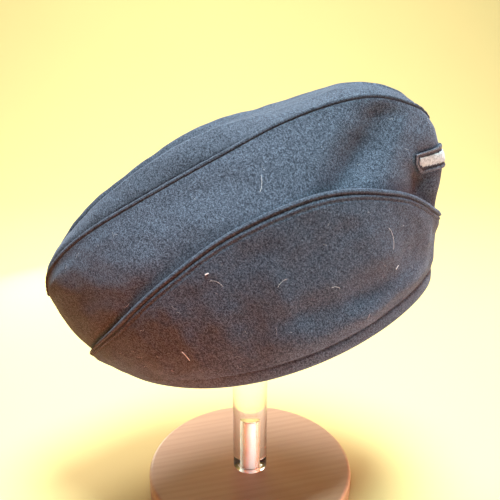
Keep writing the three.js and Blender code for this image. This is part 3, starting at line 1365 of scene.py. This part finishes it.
    def build(self, half: Half, name: str, node: str) -> Piece:
        """Builds one half of the turn-up as a closed wall.

        Args:
            half: Which half.
            name: Name of the piece.
            node: Solid that it stands for.

        Returns:
            The piece.
        """
        form = self.form
        heading = form.headings(half, self.columns)[:, None]
        edge = form.rib("edge", heading)
        narrow = self.squeeze(heading)
        fold = self.fold(heading, arc(-90.0, -8.0, 7), self.fold_out)
        low = (np.array([self.rim_rows]) + self.rim_line) * narrow
        high = edge - np.array([self.hem_rows + self.roll_rows]) * narrow
        middle = low[:, -1:] + (high[:, :1] - low[:, -1:]) * row(0.0, 1.0, self.face_rows)[:, 1:-1]
        face = self.face(heading, np.concatenate([low, middle, high], axis=1))
        drop = self.roll_drop * narrow
        outer_off = form.gap + form.turn_up + self.flare(heading) + self.relief(heading, edge - drop)
        inner_off = form.gap + self.stand(heading, edge - drop)
        over = arc(0.0, 180.0, 13)
        top_off = (outer_off + inner_off) / 2.0 + (outer_off - inner_off) / 2.0 * np.cos(over)
        top = form.off_side(heading, edge - drop + drop * np.sin(over), top_off)
        inside_height = form.tuck + (edge - drop - 0.4 - form.tuck) * row(1.0, 0.0, self.inner_rows)
        inside = form.off_side(heading, inside_height, form.gap + self.stand(heading, inside_height))
        tucked = form.off_side(heading, *section(self.tucked))
        back = self.fold(heading, arc(180.0, 270.0, 7), self.fold_in)
        points = np.concatenate([fold, face, top, inside, tucked, back[:, :-1], fold[:, :1]], axis=1)
        piece = lay_cloth(name, form.place(form.keep_half(points, half)))
        return dress(piece, self.finish, node)


@dataclass
class Sewing:
    """Thread stitches that sit in the turn-up's sewn lines."""

    form: CapForm
    flap: TurnUp
    finish: bpy.types.Material
    pitch: float = 3.3
    long: float = 2.5
    thick: float = 0.55
    lift: float = 0.12
    steps: int = 1600
    ahead: float = 0.2
    rim_run: Span = (3.0, 112.0)
    hem_run: Span = (3.0, 168.0)

    def line(self, half: Half, height: Callable[[Array], Array], run: Span) -> list[Matrix]:
        """Places for stitches along one sewn line.

        Args:
            half: Which half of the cap.
            height: Height of the line above the rim, by heading.
            run: Angles from the front where the line starts and ends.

        Returns:
            The places.
        """
        form, flap = self.form, self.flap
        angle = np.linspace(*run, self.steps)
        heading = half.heading(angle)
        reached = run_of(flap.face(heading, height(heading), self.lift))
        middles = np.arange(self.pitch, reached[-1] - self.pitch, self.pitch)
        at = half.heading(np.interp(middles, reached, angle))
        centre = flap.face(at, height(at), self.lift)
        along = flap.face(at + self.ahead, height(at + self.ahead), self.lift) - centre
        out = form.side_normal(at, height(at))
        turn = form.lean().T
        return [seat(*place) for place in zip(form.place(centre), along @ turn, out @ turn)]

    def build(self) -> Piece:
        """Lays all stitches of both sewn lines.

        Returns:
            The piece.
        """
        places = []
        for half in Half:
            places += self.line(half, self.flap.rim_height, self.rim_run)
            places += self.line(half, self.flap.hem_height, self.hem_run)
        piece = lay_copies(stitch_model(self.long, self.thick), places, "hem_stitches")
        return dress(piece, self.finish)


@dataclass
class FrontPatch:
    """The plain oblong patch with a whipped edge, and the pale satin bar sewn on it."""

    form: CapForm
    sides: SidePanels
    felt: bpy.types.Material
    whip: bpy.types.Material
    satin: bpy.types.Material
    spread: float = 29.5
    reach: float = 38.0
    low: float = 74.0
    high: float = 88.0
    lift: float = 4.0
    thick: float = 0.8
    thin_share: float = 0.3
    corner: float = 9.0
    corner_from: float = 0.72
    columns: int = 150
    edge_rows: tuple[float, ...] = (0.0, 0.01, 0.03)
    rows: int = 22
    inner_rows: int = 6
    round_over: float = 0.9
    turned_edge: Line = Line(at=1.1, width=1.0, rise=0.55)
    whips: int = 190
    whip_long: float = 2.4
    whip_thick: float = 0.95
    whip_rise: float = 0.32
    whip_inset: Span = (0.5, 0.8)
    whip_slant: Span = (8.0, 34.0)
    bar_spread: float = 26.6
    bar_low: float = 77.5
    bar_high: float = 84.5
    bar_rise: float = 0.12
    bar_stitches: int = 124
    bar_thick: float = 0.95
    seed: int = 41

    def rounding(self, across: Value) -> Value:
        """How far the patch's lower corners are rounded off."""
        share = (np.abs(across) - self.corner_from) / (1.0 - self.corner_from)
        return self.corner * np.clip(share, 0.0, 1.0) ** 2

    def height(self, across: Array, up: Array) -> Array:
        """Heights above the rim over the patch.

        Args:
            across: Share from the middle to an end, -1 to 1.
            up: Share of the way up its height, 0 to 1.

        Returns:
            The heights.
        """
        low = self.low + self.lift * across**2 + self.rounding(across)
        high = self.high + self.lift * across**2
        return low + (high - low) * up

    def surface(self, across: Array, up: Array, off: Value) -> Array:
        """Points of the patch.

        Args:
            across: Share from the middle to an end, -1 to 1.
            up: Share of the way up its height, 0 to 1.
            off: Distance off the side.

        Returns:
            Points in millimetres.
        """
        heading = self.spread * across
        height = self.height(across, up)
        return self.form.off_side(heading, height, self.sides.relief(heading, height) + off)

    def build_cloth(self) -> Piece:
        """Builds the patch, thicker along its turned edge.

        Returns:
            The piece.
        """
        form = self.form
        across = np.linspace(-1.0, 1.0, self.columns)[:, None]
        ends = np.array(self.edge_rows)
        up = np.concatenate([ends, np.linspace(0.06, 0.94, self.rows), 1.0 - ends[::-1]])[None, :]
        from_side = np.minimum(up, 1.0 - up) * (self.high - self.low)
        inset = np.minimum((1.0 - np.abs(across)) * self.reach, from_side)
        short = 1.0 - np.clip(inset / self.round_over, 0.0, 1.0)
        full = np.sqrt(np.clip(1.0 - short**2, 0.0, 1.0))
        thick = self.thick * (self.thin_share + (1.0 - self.thin_share) * full)
        front = self.surface(across, up, form.gap + thick + self.turned_edge.over(inset))
        back = self.surface(across, row(1.0, 0.0, self.inner_rows), form.gap)
        points = np.concatenate([front, back, front[:, :1]], axis=1)
        piece = lay_cloth("front_patch_cloth", form.place(points))
        return dress(piece, self.felt, "front_patch")

    def edge_line(self, count: int) -> tuple[Array, Array, Array]:
        """Points round the patch's edge.

        Args:
            count: How many points.

        Returns:
            The points, the directions across the edge to the outside, and the cloth's normals.
        """
        shares = np.linspace(0.0, 1.0, 400)
        across = np.concatenate([2 * shares - 1, 1 + 0 * shares, 1 - 2 * shares, -1 + 0 * shares])
        up = np.concatenate([0 * shares, shares, 1 + 0 * shares, 1 - shares])
        off = self.form.gap + self.thick
        line = self.surface(across, up, off)
        outward = line - self.surface(across * 0.94, 0.5 + (up - 0.5) * 0.7, off)
        normal = self.form.side_normal(self.spread * across, self.height(across, up))
        run = run_of(line)
        at = np.linspace(0.0, run[-1], count, endpoint=False)
        picked = np.clip(np.searchsorted(run, at), 0, len(line) - 1)
        return line[picked], outward[picked], normal[picked]

    def build_whip(self) -> Piece:
        """Lays whip stitches over the patch's edge.

        Returns:
            The piece.
        """
        chance = np.random.default_rng(self.seed)
        turn = self.form.lean()
        places = []
        for at, out, up in zip(*self.edge_line(self.whips)):
            spot = at - out / np.linalg.norm(out) * chance.uniform(*self.whip_inset) + up * self.whip_rise
            slant = chance.uniform(*self.whip_slant)
            places.append(seat(self.form.place(spot), turn @ out, turn @ up, slant))
        piece = lay_copies(stitch_model(self.whip_long, self.whip_thick), places, "patch_whip_stitches")
        return dress(piece, self.whip)

    def build_bar(self) -> Piece:
        """Lays the pale bar as satin stitches side by side.

        Returns:
            The piece.
        """
        form = self.form
        chance = np.random.default_rng(self.seed + 1)
        turn = form.lean()
        off = 2.0 * form.gap + self.thick + self.bar_rise
        tall = self.bar_high - self.bar_low
        places = []
        for heading in np.linspace(-self.bar_spread, self.bar_spread, self.bar_stitches):
            lift = self.lift * (heading / self.bar_spread) ** 2
            corner = 0.8 * self.rounding(heading / self.spread)
            low = self.bar_low + lift + corner + chance.uniform(-0.5, 0.35)
            high = self.bar_high + lift + chance.uniform(-0.3, 0.35)
            around = np.full(2, heading)
            heights = np.array([low, high])
            ends = form.off_side(around, heights, self.sides.relief(around, heights) + off)
            along = ends[1] - ends[0]
            out = form.side_normal(heading, (low + high) / 2.0)
            place = seat(form.place(ends.mean(axis=0)), turn @ along, turn @ out, chance.uniform(-5.0, 5.0))
            size = (np.linalg.norm(along) / tall, 1.0, chance.uniform(0.9, 1.3), 1.0)
            places.append(place @ Matrix.Diagonal(size))
        piece = lay_copies(stitch_model(tall, self.bar_thick), places, "patch_pale_bar")
        return dress(piece, self.satin, "patch_bar")


@dataclass(frozen=True)
class Strand:
    """One loose hair on the turn-up or a side: place, length, slope of its run and how far it curls."""

    heading: float
    height: float
    long: float
    run: float
    curl: float
    thick: float
    on_flap: bool


@dataclass
class Lint:
    """Loose hairs and bits of fluff caught in the nap."""

    form: CapForm
    flap: TurnUp
    sides: SidePanels
    finish: bpy.types.Material
    count: int = 110
    seed: int = 51
    gauges: tuple[float, ...] = (0.05, 0.13, 0.45, 0.75)
    points: int = 11
    strands: tuple[Strand, ...] = (
        Strand(heading=310.4, height=56, long=17, run=98, curl=70, thick=0.13, on_flap=True),
        Strand(heading=260.9, height=72.6, long=2.4, run=10, curl=10, thick=0.75, on_flap=True),
        Strand(heading=247.0, height=29, long=7, run=102, curl=6, thick=0.45, on_flap=True),
        Strand(heading=278.8, height=110, long=9, run=60, curl=35, thick=0.16, on_flap=False),
        Strand(heading=262.5, height=67, long=9, run=140, curl=70, thick=0.1, on_flap=True),
        Strand(heading=277.0, height=58, long=8, run=25, curl=-60, thick=0.1, on_flap=True),
        Strand(heading=290.0, height=44, long=7, run=150, curl=50, thick=0.1, on_flap=True),
        Strand(heading=313.1, height=35, long=3, run=30, curl=20, thick=0.3, on_flap=True),
        Strand(heading=236.0, height=62, long=6, run=20, curl=40, thick=0.12, on_flap=False),
    )

    def path(self, strand: Strand) -> Array:
        """Points of one hair, lying on the cloth.

        Args:
            strand: The hair.

        Returns:
            Points in metres.
        """
        form = self.form
        share = np.linspace(-0.5, 0.5, self.points)
        turn = np.radians(strand.run + strand.curl * share)
        along = np.cumsum(np.cos(turn)) * strand.long / self.points
        rise = np.cumsum(np.sin(turn)) * strand.long / self.points
        degree = run_of(form.off_side(strand.heading + np.array([0.0, 1.0]), strand.height, 0.0))[-1]
        heading = strand.heading + (along - along.mean()) / degree
        height = strand.height + rise - rise.mean()
        lift = 0.15 + strand.thick * 0.5 + 0.5 * np.maximum(np.abs(share) - 0.3, 0.0)
        if strand.on_flap:
            cloth = self.flap.face(heading, np.minimum(height, form.rib("edge", heading) - 2.0))
        else:
            cloth = self.sides.outside(heading, height)
        return form.place(cloth + form.side_normal(heading, height) * lift[..., None])

    def scattered(self) -> list[Strand]:
        """Short hairs strewn over the cap, clear of the turn-up's edge.

        Returns:
            The hairs.
        """
        chance = np.random.default_rng(self.seed)
        found = []
        while len(found) < self.count:
            heading = chance.uniform(0.0, 360.0)
            edge, seam = (float(self.form.rib(name, np.array(heading))) for name in ("edge", "seam"))
            height = chance.uniform(12.0, seam - 8.0)
            if abs(height - edge) < 9.0:
                continue
            long = chance.uniform(1.2, 4.5)
            thick = chance.uniform(0.03, 0.07)
            run = chance.uniform(0.0, 180.0)
            curl = chance.uniform(-120.0, 120.0)
            found.append(Strand(heading, height, long, run, curl, thick, height < edge))
        return found

    def spin(self, gauge: float, strands: Sequence[Strand]) -> Piece:
        """Lays hairs as thin tubes.

        Args:
            gauge: Thickness of the tubes.
            strands: The hairs.

        Returns:
            A curve.
        """
        curve = bpy.data.curves.new("lint", "CURVE")
        curve.dimensions = "3D"
        curve.bevel_depth = gauge * MM / 2.0
        curve.bevel_resolution = 0
        curve.use_fill_caps = True
        for strand in strands:
            path = self.path(strand)
            spline = curve.splines.new("POLY")
            spline.points.add(len(path) - 1)
            full = np.concatenate([path, np.ones((len(path), 1))], axis=1)
            spline.points.foreach_set("co", full.astype(np.float32).reshape(-1))
        tubes = bpy.data.objects.new("lint", curve)
        bpy.context.collection.objects.link(tubes)
        return tubes

    def build(self) -> Piece:
        """Lays all hairs as one piece, each in the gauge nearest to its thickness.

        Returns:
            The piece.
        """
        sorted_out = {gauge: [] for gauge in self.gauges}
        for strand in (*self.strands, *self.scattered()):
            nearest = min(self.gauges, key=lambda gauge: abs(gauge - strand.thick))
            sorted_out[nearest].append(strand)
        start_clear()
        parts = [self.spin(gauge, strands) for gauge, strands in sorted_out.items()]
        for part in parts:
            part.select_set(True)
        bpy.context.view_layer.objects.active = parts[0]
        bpy.ops.object.convert(target="MESH")
        bpy.ops.object.join()
        return dress(named("loose_lint"), self.finish)


# The display stand


@dataclass
class Stand:
    """Round wooden base, clear post with a domed top, and the pale peg in the post's foot."""

    wood: bpy.types.Material
    acrylic: bpy.types.Material
    dowel: bpy.types.Material
    base_radius: float = 76.0
    base_thick: float = 16.0
    base_rings: Span = (5.0, 10.0)
    base_edge: float = 3.0
    base_foot: float = 1.0
    base_insets: tuple[float, ...] = (3.0, 20.0, 20.0)
    post_radius: float = 12.5
    post_rings: Span = (1.5, 15.0)
    post_foot: float = 0.5
    dome_share: float = 0.985
    bore: float = 4.3
    bore_depth: float = 42.0
    peg_radius: float = 4.0
    peg_length: float = 41.0
    peg_rings: Span = (1.0, 3.0)
    peg_head: float = 1.6
    peg_foot: float = 0.4
    gap: float = 0.3
    upright: float = 0.9

    def pick_end(self, height: float, up: float) -> None:
        """Selects the faces at a height in millimetres that face up (1) or down (-1)."""
        level = height * MM
        pick(Pick.FACE, lambda middle, normal: abs(middle.z - level) < NEAR and normal.z * up > self.upright)

    def draw_up(self, rise: float) -> None:
        """Extrudes the selected faces upwards by millimetres."""
        bpy.ops.mesh.extrude_region_move(TRANSFORM_OT_translate={"value": (0.0, 0.0, rise * MM)})

    def rod(self, name: str, radius: float, levels: Sequence[float], sides: int) -> Piece:
        """Adds an upright rod and leaves it in edit mode.

        Args:
            name: Name of the piece.
            radius: Radius in millimetres.
            levels: Heights of its foot, of the rings round it and of its top.
            sides: Segments round it.

        Returns:
            The rod.
        """
        start_clear()
        low, high = levels[:2]
        middle = (0.0, 0.0, (low + high) / 2.0 * MM)
        depth = (high - low) * MM
        bpy.ops.mesh.primitive_cylinder_add(vertices=sides, radius=radius * MM, depth=depth, location=middle)
        bpy.ops.object.transform_apply(location=True, rotation=True, scale=True)
        piece = named(name)
        bpy.ops.object.mode_set(mode="EDIT")
        for below, above in zip(levels[1:], levels[2:]):
            self.pick_end(below, 1.0)
            self.draw_up(above - below)
        return piece

    def round_edge(self, height: float, size: float, segments: int) -> None:
        """Rounds the edge of a rod's end.

        Args:
            height: Height of the end in millimetres.
            size: Radius of the rounding in millimetres.
            segments: Steps round it.
        """
        level = height * MM
        pick(Pick.EDGE, lambda middle, along: abs(middle.z - level) < NEAR and abs(along.z) < 0.5)
        shape = {"segments": segments, "profile": 0.5, "clamp_overlap": True}
        bpy.ops.mesh.bevel(offset=size * MM, affect="EDGES", **shape)

    def build_base(self) -> Piece:
        """Turns the wooden base, rounded above and eased below.

        Returns:
            The piece.
        """
        piece = self.rod("base_disc", self.base_radius, (0.0, *self.base_rings, self.base_thick), sides=160)
        self.round_edge(self.base_thick, self.base_edge, segments=8)
        self.round_edge(0.0, self.base_foot, segments=3)
        for height, up in ((self.base_thick, 1.0), (0.0, -1.0)):
            self.pick_end(height, up)
            for width in self.base_insets:
                bpy.ops.mesh.inset(thickness=width * MM, depth=0.0)
        smooth_shell(35.0)
        return dress(piece, self.wood, "stand_base")

    def build_post(self, top: float) -> Piece:
        """Turns the clear post, domed above and bored for the peg.

        Args:
            top: Height of its top in millimetres.

        Returns:
            The piece.
        """
        foot = self.base_thick + self.gap
        levels = (foot, foot + self.post_rings[0], top - self.post_rings[1], top)
        piece = self.rod("clear_post", self.post_radius, levels, sides=96)
        self.round_edge(top, self.post_radius * self.dome_share, segments=14)
        self.round_edge(foot, self.post_foot, segments=3)
        self.pick_end(foot, -1.0)
        bpy.ops.mesh.inset(thickness=(self.post_radius - self.post_foot - self.bore) * MM, depth=0.0)
        self.draw_up(self.bore_depth)
        smooth_shell(35.0)
        piece.visible_shadow = False
        return dress(piece, self.acrylic, "stand_post")

    def build_peg(self) -> Piece:
        """Turns the pale peg with its rounded top.

        Returns:
            The piece.
        """
        foot = self.base_thick + self.gap
        head = foot + self.peg_length
        levels = (foot, foot + self.peg_rings[0], head - self.peg_rings[1], head)
        piece = self.rod("post_peg", self.peg_radius, levels, sides=48)
        self.round_edge(head, self.peg_head, segments=6)
        self.round_edge(foot, self.peg_foot, segments=2)
        smooth_shell(35.0)
        return dress(piece, self.dowel, "stand_peg")


# Studio


@dataclass(frozen=True)
class Lamp:
    """A soft round light: where it hangs, its energy, width and colour, and where it points."""

    name: str
    at: Place
    energy: float
    size: float
    colour: Place
    aim: Place = (0.0, 0.0, 0.2)


LAMPS = (
    Lamp("overhead", (0.1, -0.08, 1.1), 39.0, 0.4, (0.68, 0.9, 1.0)),
    Lamp("far", (-0.1, 0.33, 1.05), 11.0, 0.45, (0.9, 0.85, 1.0)),
    Lamp("side", (0.45, -0.62, 0.05), 2.5, 0.3, (0.55, 0.84, 1.0)),
    Lamp("warm", (0.7, 0.0, 0.1), 5.0, 0.4, (1.0, 0.22, 0.1)),
    Lamp("low", (-0.35, -0.75, 0.1), 3.0, 0.4, (1.0, 0.1, 0.05)),
    Lamp("bounce", (-0.1, -0.2, 0.012), 1.2, 0.12, (1.0, 0.12, 0.03), aim=(-0.1, -0.19, 1.0)),
    Lamp("fill", (0.17, -0.15, 0.012), 1.1, 0.12, (0.85, 0.88, 1.0), aim=(0.17, -0.14, 1.0)),
    Lamp("rear", (-0.25, 0.4, 0.14), 0.8, 0.2, (0.95, 0.95, 0.85), aim=(0.0, 0.0, 0.03)),
    Lamp("backdrop", (0.0, 0.6, 1.6), 33.0, 1.2, (1.0, 1.0, 0.97), aim=(0.0, 1.3, 0.2)),
)


@dataclass
class Studio:
    """Pale sweep of paper, soft lights and the camera at the photograph's angle, in metres."""

    paper: bpy.types.Material
    floor_size: float = 6.0
    floor_middle: float = -1.6
    wall_near: float = 1.3
    wall_height: float = 2.2
    wall_bend: float = 0.7
    surround: Colour = (0.85, 0.92, 1.0, 1.0)
    surround_strength: float = 0.02
    azimuth: float = -4.0
    elevation: float = 22.0
    distance: float = 0.463
    target: Place = (0.0, 0.0, 0.191)
    lens: float = 50.0
    sensor: float = 36.0
    nearest: float = 0.01

    def floor(self) -> None:
        """Sweeps the floor up into a backdrop behind the object."""
        start_clear()
        bpy.ops.mesh.primitive_plane_add(size=self.floor_size, location=(0.0, self.floor_middle, 0.0))
        bpy.ops.object.transform_apply(location=True, rotation=True, scale=True)
        piece = named("studio_floor")
        bpy.ops.object.mode_set(mode="EDIT")
        pick(Pick.EDGE, lambda middle, along: middle.y > self.wall_near)
        bpy.ops.mesh.extrude_region_move(TRANSFORM_OT_translate={"value": (0.0, 0.0, self.wall_height)})
        pick(Pick.EDGE, lambda middle, along: middle.y > self.wall_near and abs(middle.z) < NEAR)
        bpy.ops.mesh.bevel(offset=self.wall_bend, segments=24, profile=0.5, affect="EDGES")
        bpy.ops.object.mode_set(mode="OBJECT")
        bpy.ops.object.shade_smooth()
        piece.data.materials.append(self.paper)

    def hang(self, lamp: Lamp) -> None:
        """Hangs one soft area light.

        Args:
            lamp: The light.
        """
        way = Vector(lamp.aim) - Vector(lamp.at)
        turn = way.to_track_quat("-Z", "Y").to_euler()
        bpy.ops.object.light_add(type="AREA", location=lamp.at, rotation=turn)
        light = bpy.context.view_layer.objects.active
        light.name = lamp.name
        light.data.shape = "DISK"
        light.data.energy = lamp.energy
        light.data.size = lamp.size
        light.data.color = lamp.colour
        light.visible_camera = False

    def lights(self) -> None:
        """Hangs cool lights above, warm ones low down and one on the backdrop, in a faint surround."""
        for lamp in LAMPS:
            self.hang(lamp)
        world = bpy.data.worlds.new("studio_surround")
        bpy.context.scene.world = world
        world.use_nodes = True
        sky = world.node_tree.nodes["Background"]
        sky.inputs["Color"].default_value = self.surround
        sky.inputs["Strength"].default_value = self.surround_strength

    def camera(self) -> None:
        """Sets the camera up as the photograph was taken."""
        turn = math.radians(self.azimuth)
        rise = math.radians(self.elevation)
        back = Vector((math.sin(turn) * math.cos(rise), -math.cos(turn) * math.cos(rise), math.sin(rise)))
        at = Vector(self.target) + back * self.distance
        bpy.ops.object.camera_add(location=at, rotation=(-back).to_track_quat("-Z", "Y").to_euler())
        view = bpy.context.view_layer.objects.active
        view.name = "photo_camera"
        view.data.lens = self.lens
        view.data.sensor_width = self.sensor
        view.data.clip_start = self.nearest
        bpy.context.scene.camera = view

    def build(self) -> None:
        """Builds the studio."""
        self.floor()
        self.lights()
        self.camera()
        bpy.context.scene.view_settings.view_transform = "Standard"


def tell(piece: Piece) -> None:
    """Reports one finished piece."""
    faces = sum(len(face.vertices) - 2 for face in piece.data.polygons)
    LOG.info("%s: %d triangles", piece.name, faces)


def main() -> None:
    """Builds the cap, its stand and the studio."""
    logging.basicConfig(level=logging.INFO, format="%(name)s %(message)s")
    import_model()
    form = CapForm()
    # The top panel's wool is a darker copy of the side wool: painted shade that tones down the crown, where
    # the overhead lamp falls most.
    shaded_top_wool = Wool("top_wool_painted_shade", ground=(0.0084, 0.0104, 0.015, 1.0), fibre=(0.072, 0.087, 0.11, 1.0))
    tell(TopPanel(form, shaded_top_wool.material()).build())
    sides = SidePanels(form, Wool().material())
    tell(sides.build(Half.RIGHT, "right_side", "side_right"))
    tell(sides.build(Half.LEFT, "left_side", "side_left"))
    # The turn-up's wool is a darker copy of the side wool: painted shade for the flap, which stands steeper
    # than the sides and falls darker.
    shaded_flap_wool = Wool("turned_wool_painted_shade", ground=(0.009, 0.011, 0.016, 1.0), fibre=(0.077, 0.092, 0.117, 1.0))
    flap = TurnUp(form, shaded_flap_wool.material())
    tell(flap.build(Half.RIGHT, "right_turn_up", "turn_up_right"))
    tell(flap.build(Half.LEFT, "left_turn_up", "turn_up_left"))
    dark_thread = Thread("dark_thread", dark=(0.012, 0.013, 0.018, 1.0), light=(0.05, 0.054, 0.066, 1.0))
    tell(Sewing(form, flap, dark_thread.material()).build())
    felt = Wool("badge_felt", ground=(0.012, 0.012, 0.015, 1.0), fibre=(0.06, 0.062, 0.075, 1.0))
    whip = Thread("whip_thread", dark=(0.02, 0.021, 0.027, 1.0), light=(0.1, 0.105, 0.125, 1.0))
    pale, bright = (0.235, 0.225, 0.21, 1.0), (0.45, 0.445, 0.42, 1.0)
    satin = Thread("pale_satin_thread", dark=pale, light=bright, rough=0.7)
    patch = FrontPatch(form, sides, felt.material(), whip.material(), satin.material())
    tell(patch.build_cloth())
    tell(patch.build_whip())
    tell(patch.build_bar())
    fluff = Thread("lint_fibre", dark=(0.42, 0.38, 0.34, 1.0), light=(0.75, 0.7, 0.64, 1.0))
    tell(Lint(form, flap, sides, fluff.material()).build())
    brown, tan = (0.45, 0.282, 0.17, 1.0), (0.485, 0.312, 0.19, 1.0)
    base_wood = Wood("stained_base_wood", dark=brown, light=tan, spacing=0.006, rough=0.45, lacquer=0.2)
    ash, cream = (0.76, 0.79, 0.7, 1.0), (0.88, 0.92, 0.84, 1.0)
    dowel = Wood("pale_dowel_wood", dark=ash, light=cream, spacing=0.003, rough=0.6, lacquer=0.0)
    stand = Stand(base_wood.material(), Acrylic().material(), dowel.material())
    tell(stand.build_base())
    tell(stand.build_post(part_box("stand_post")[1][2] / MM))
    tell(stand.build_peg())
    Studio(Paper().material()).build()


if __name__ == "__main__":
    main()
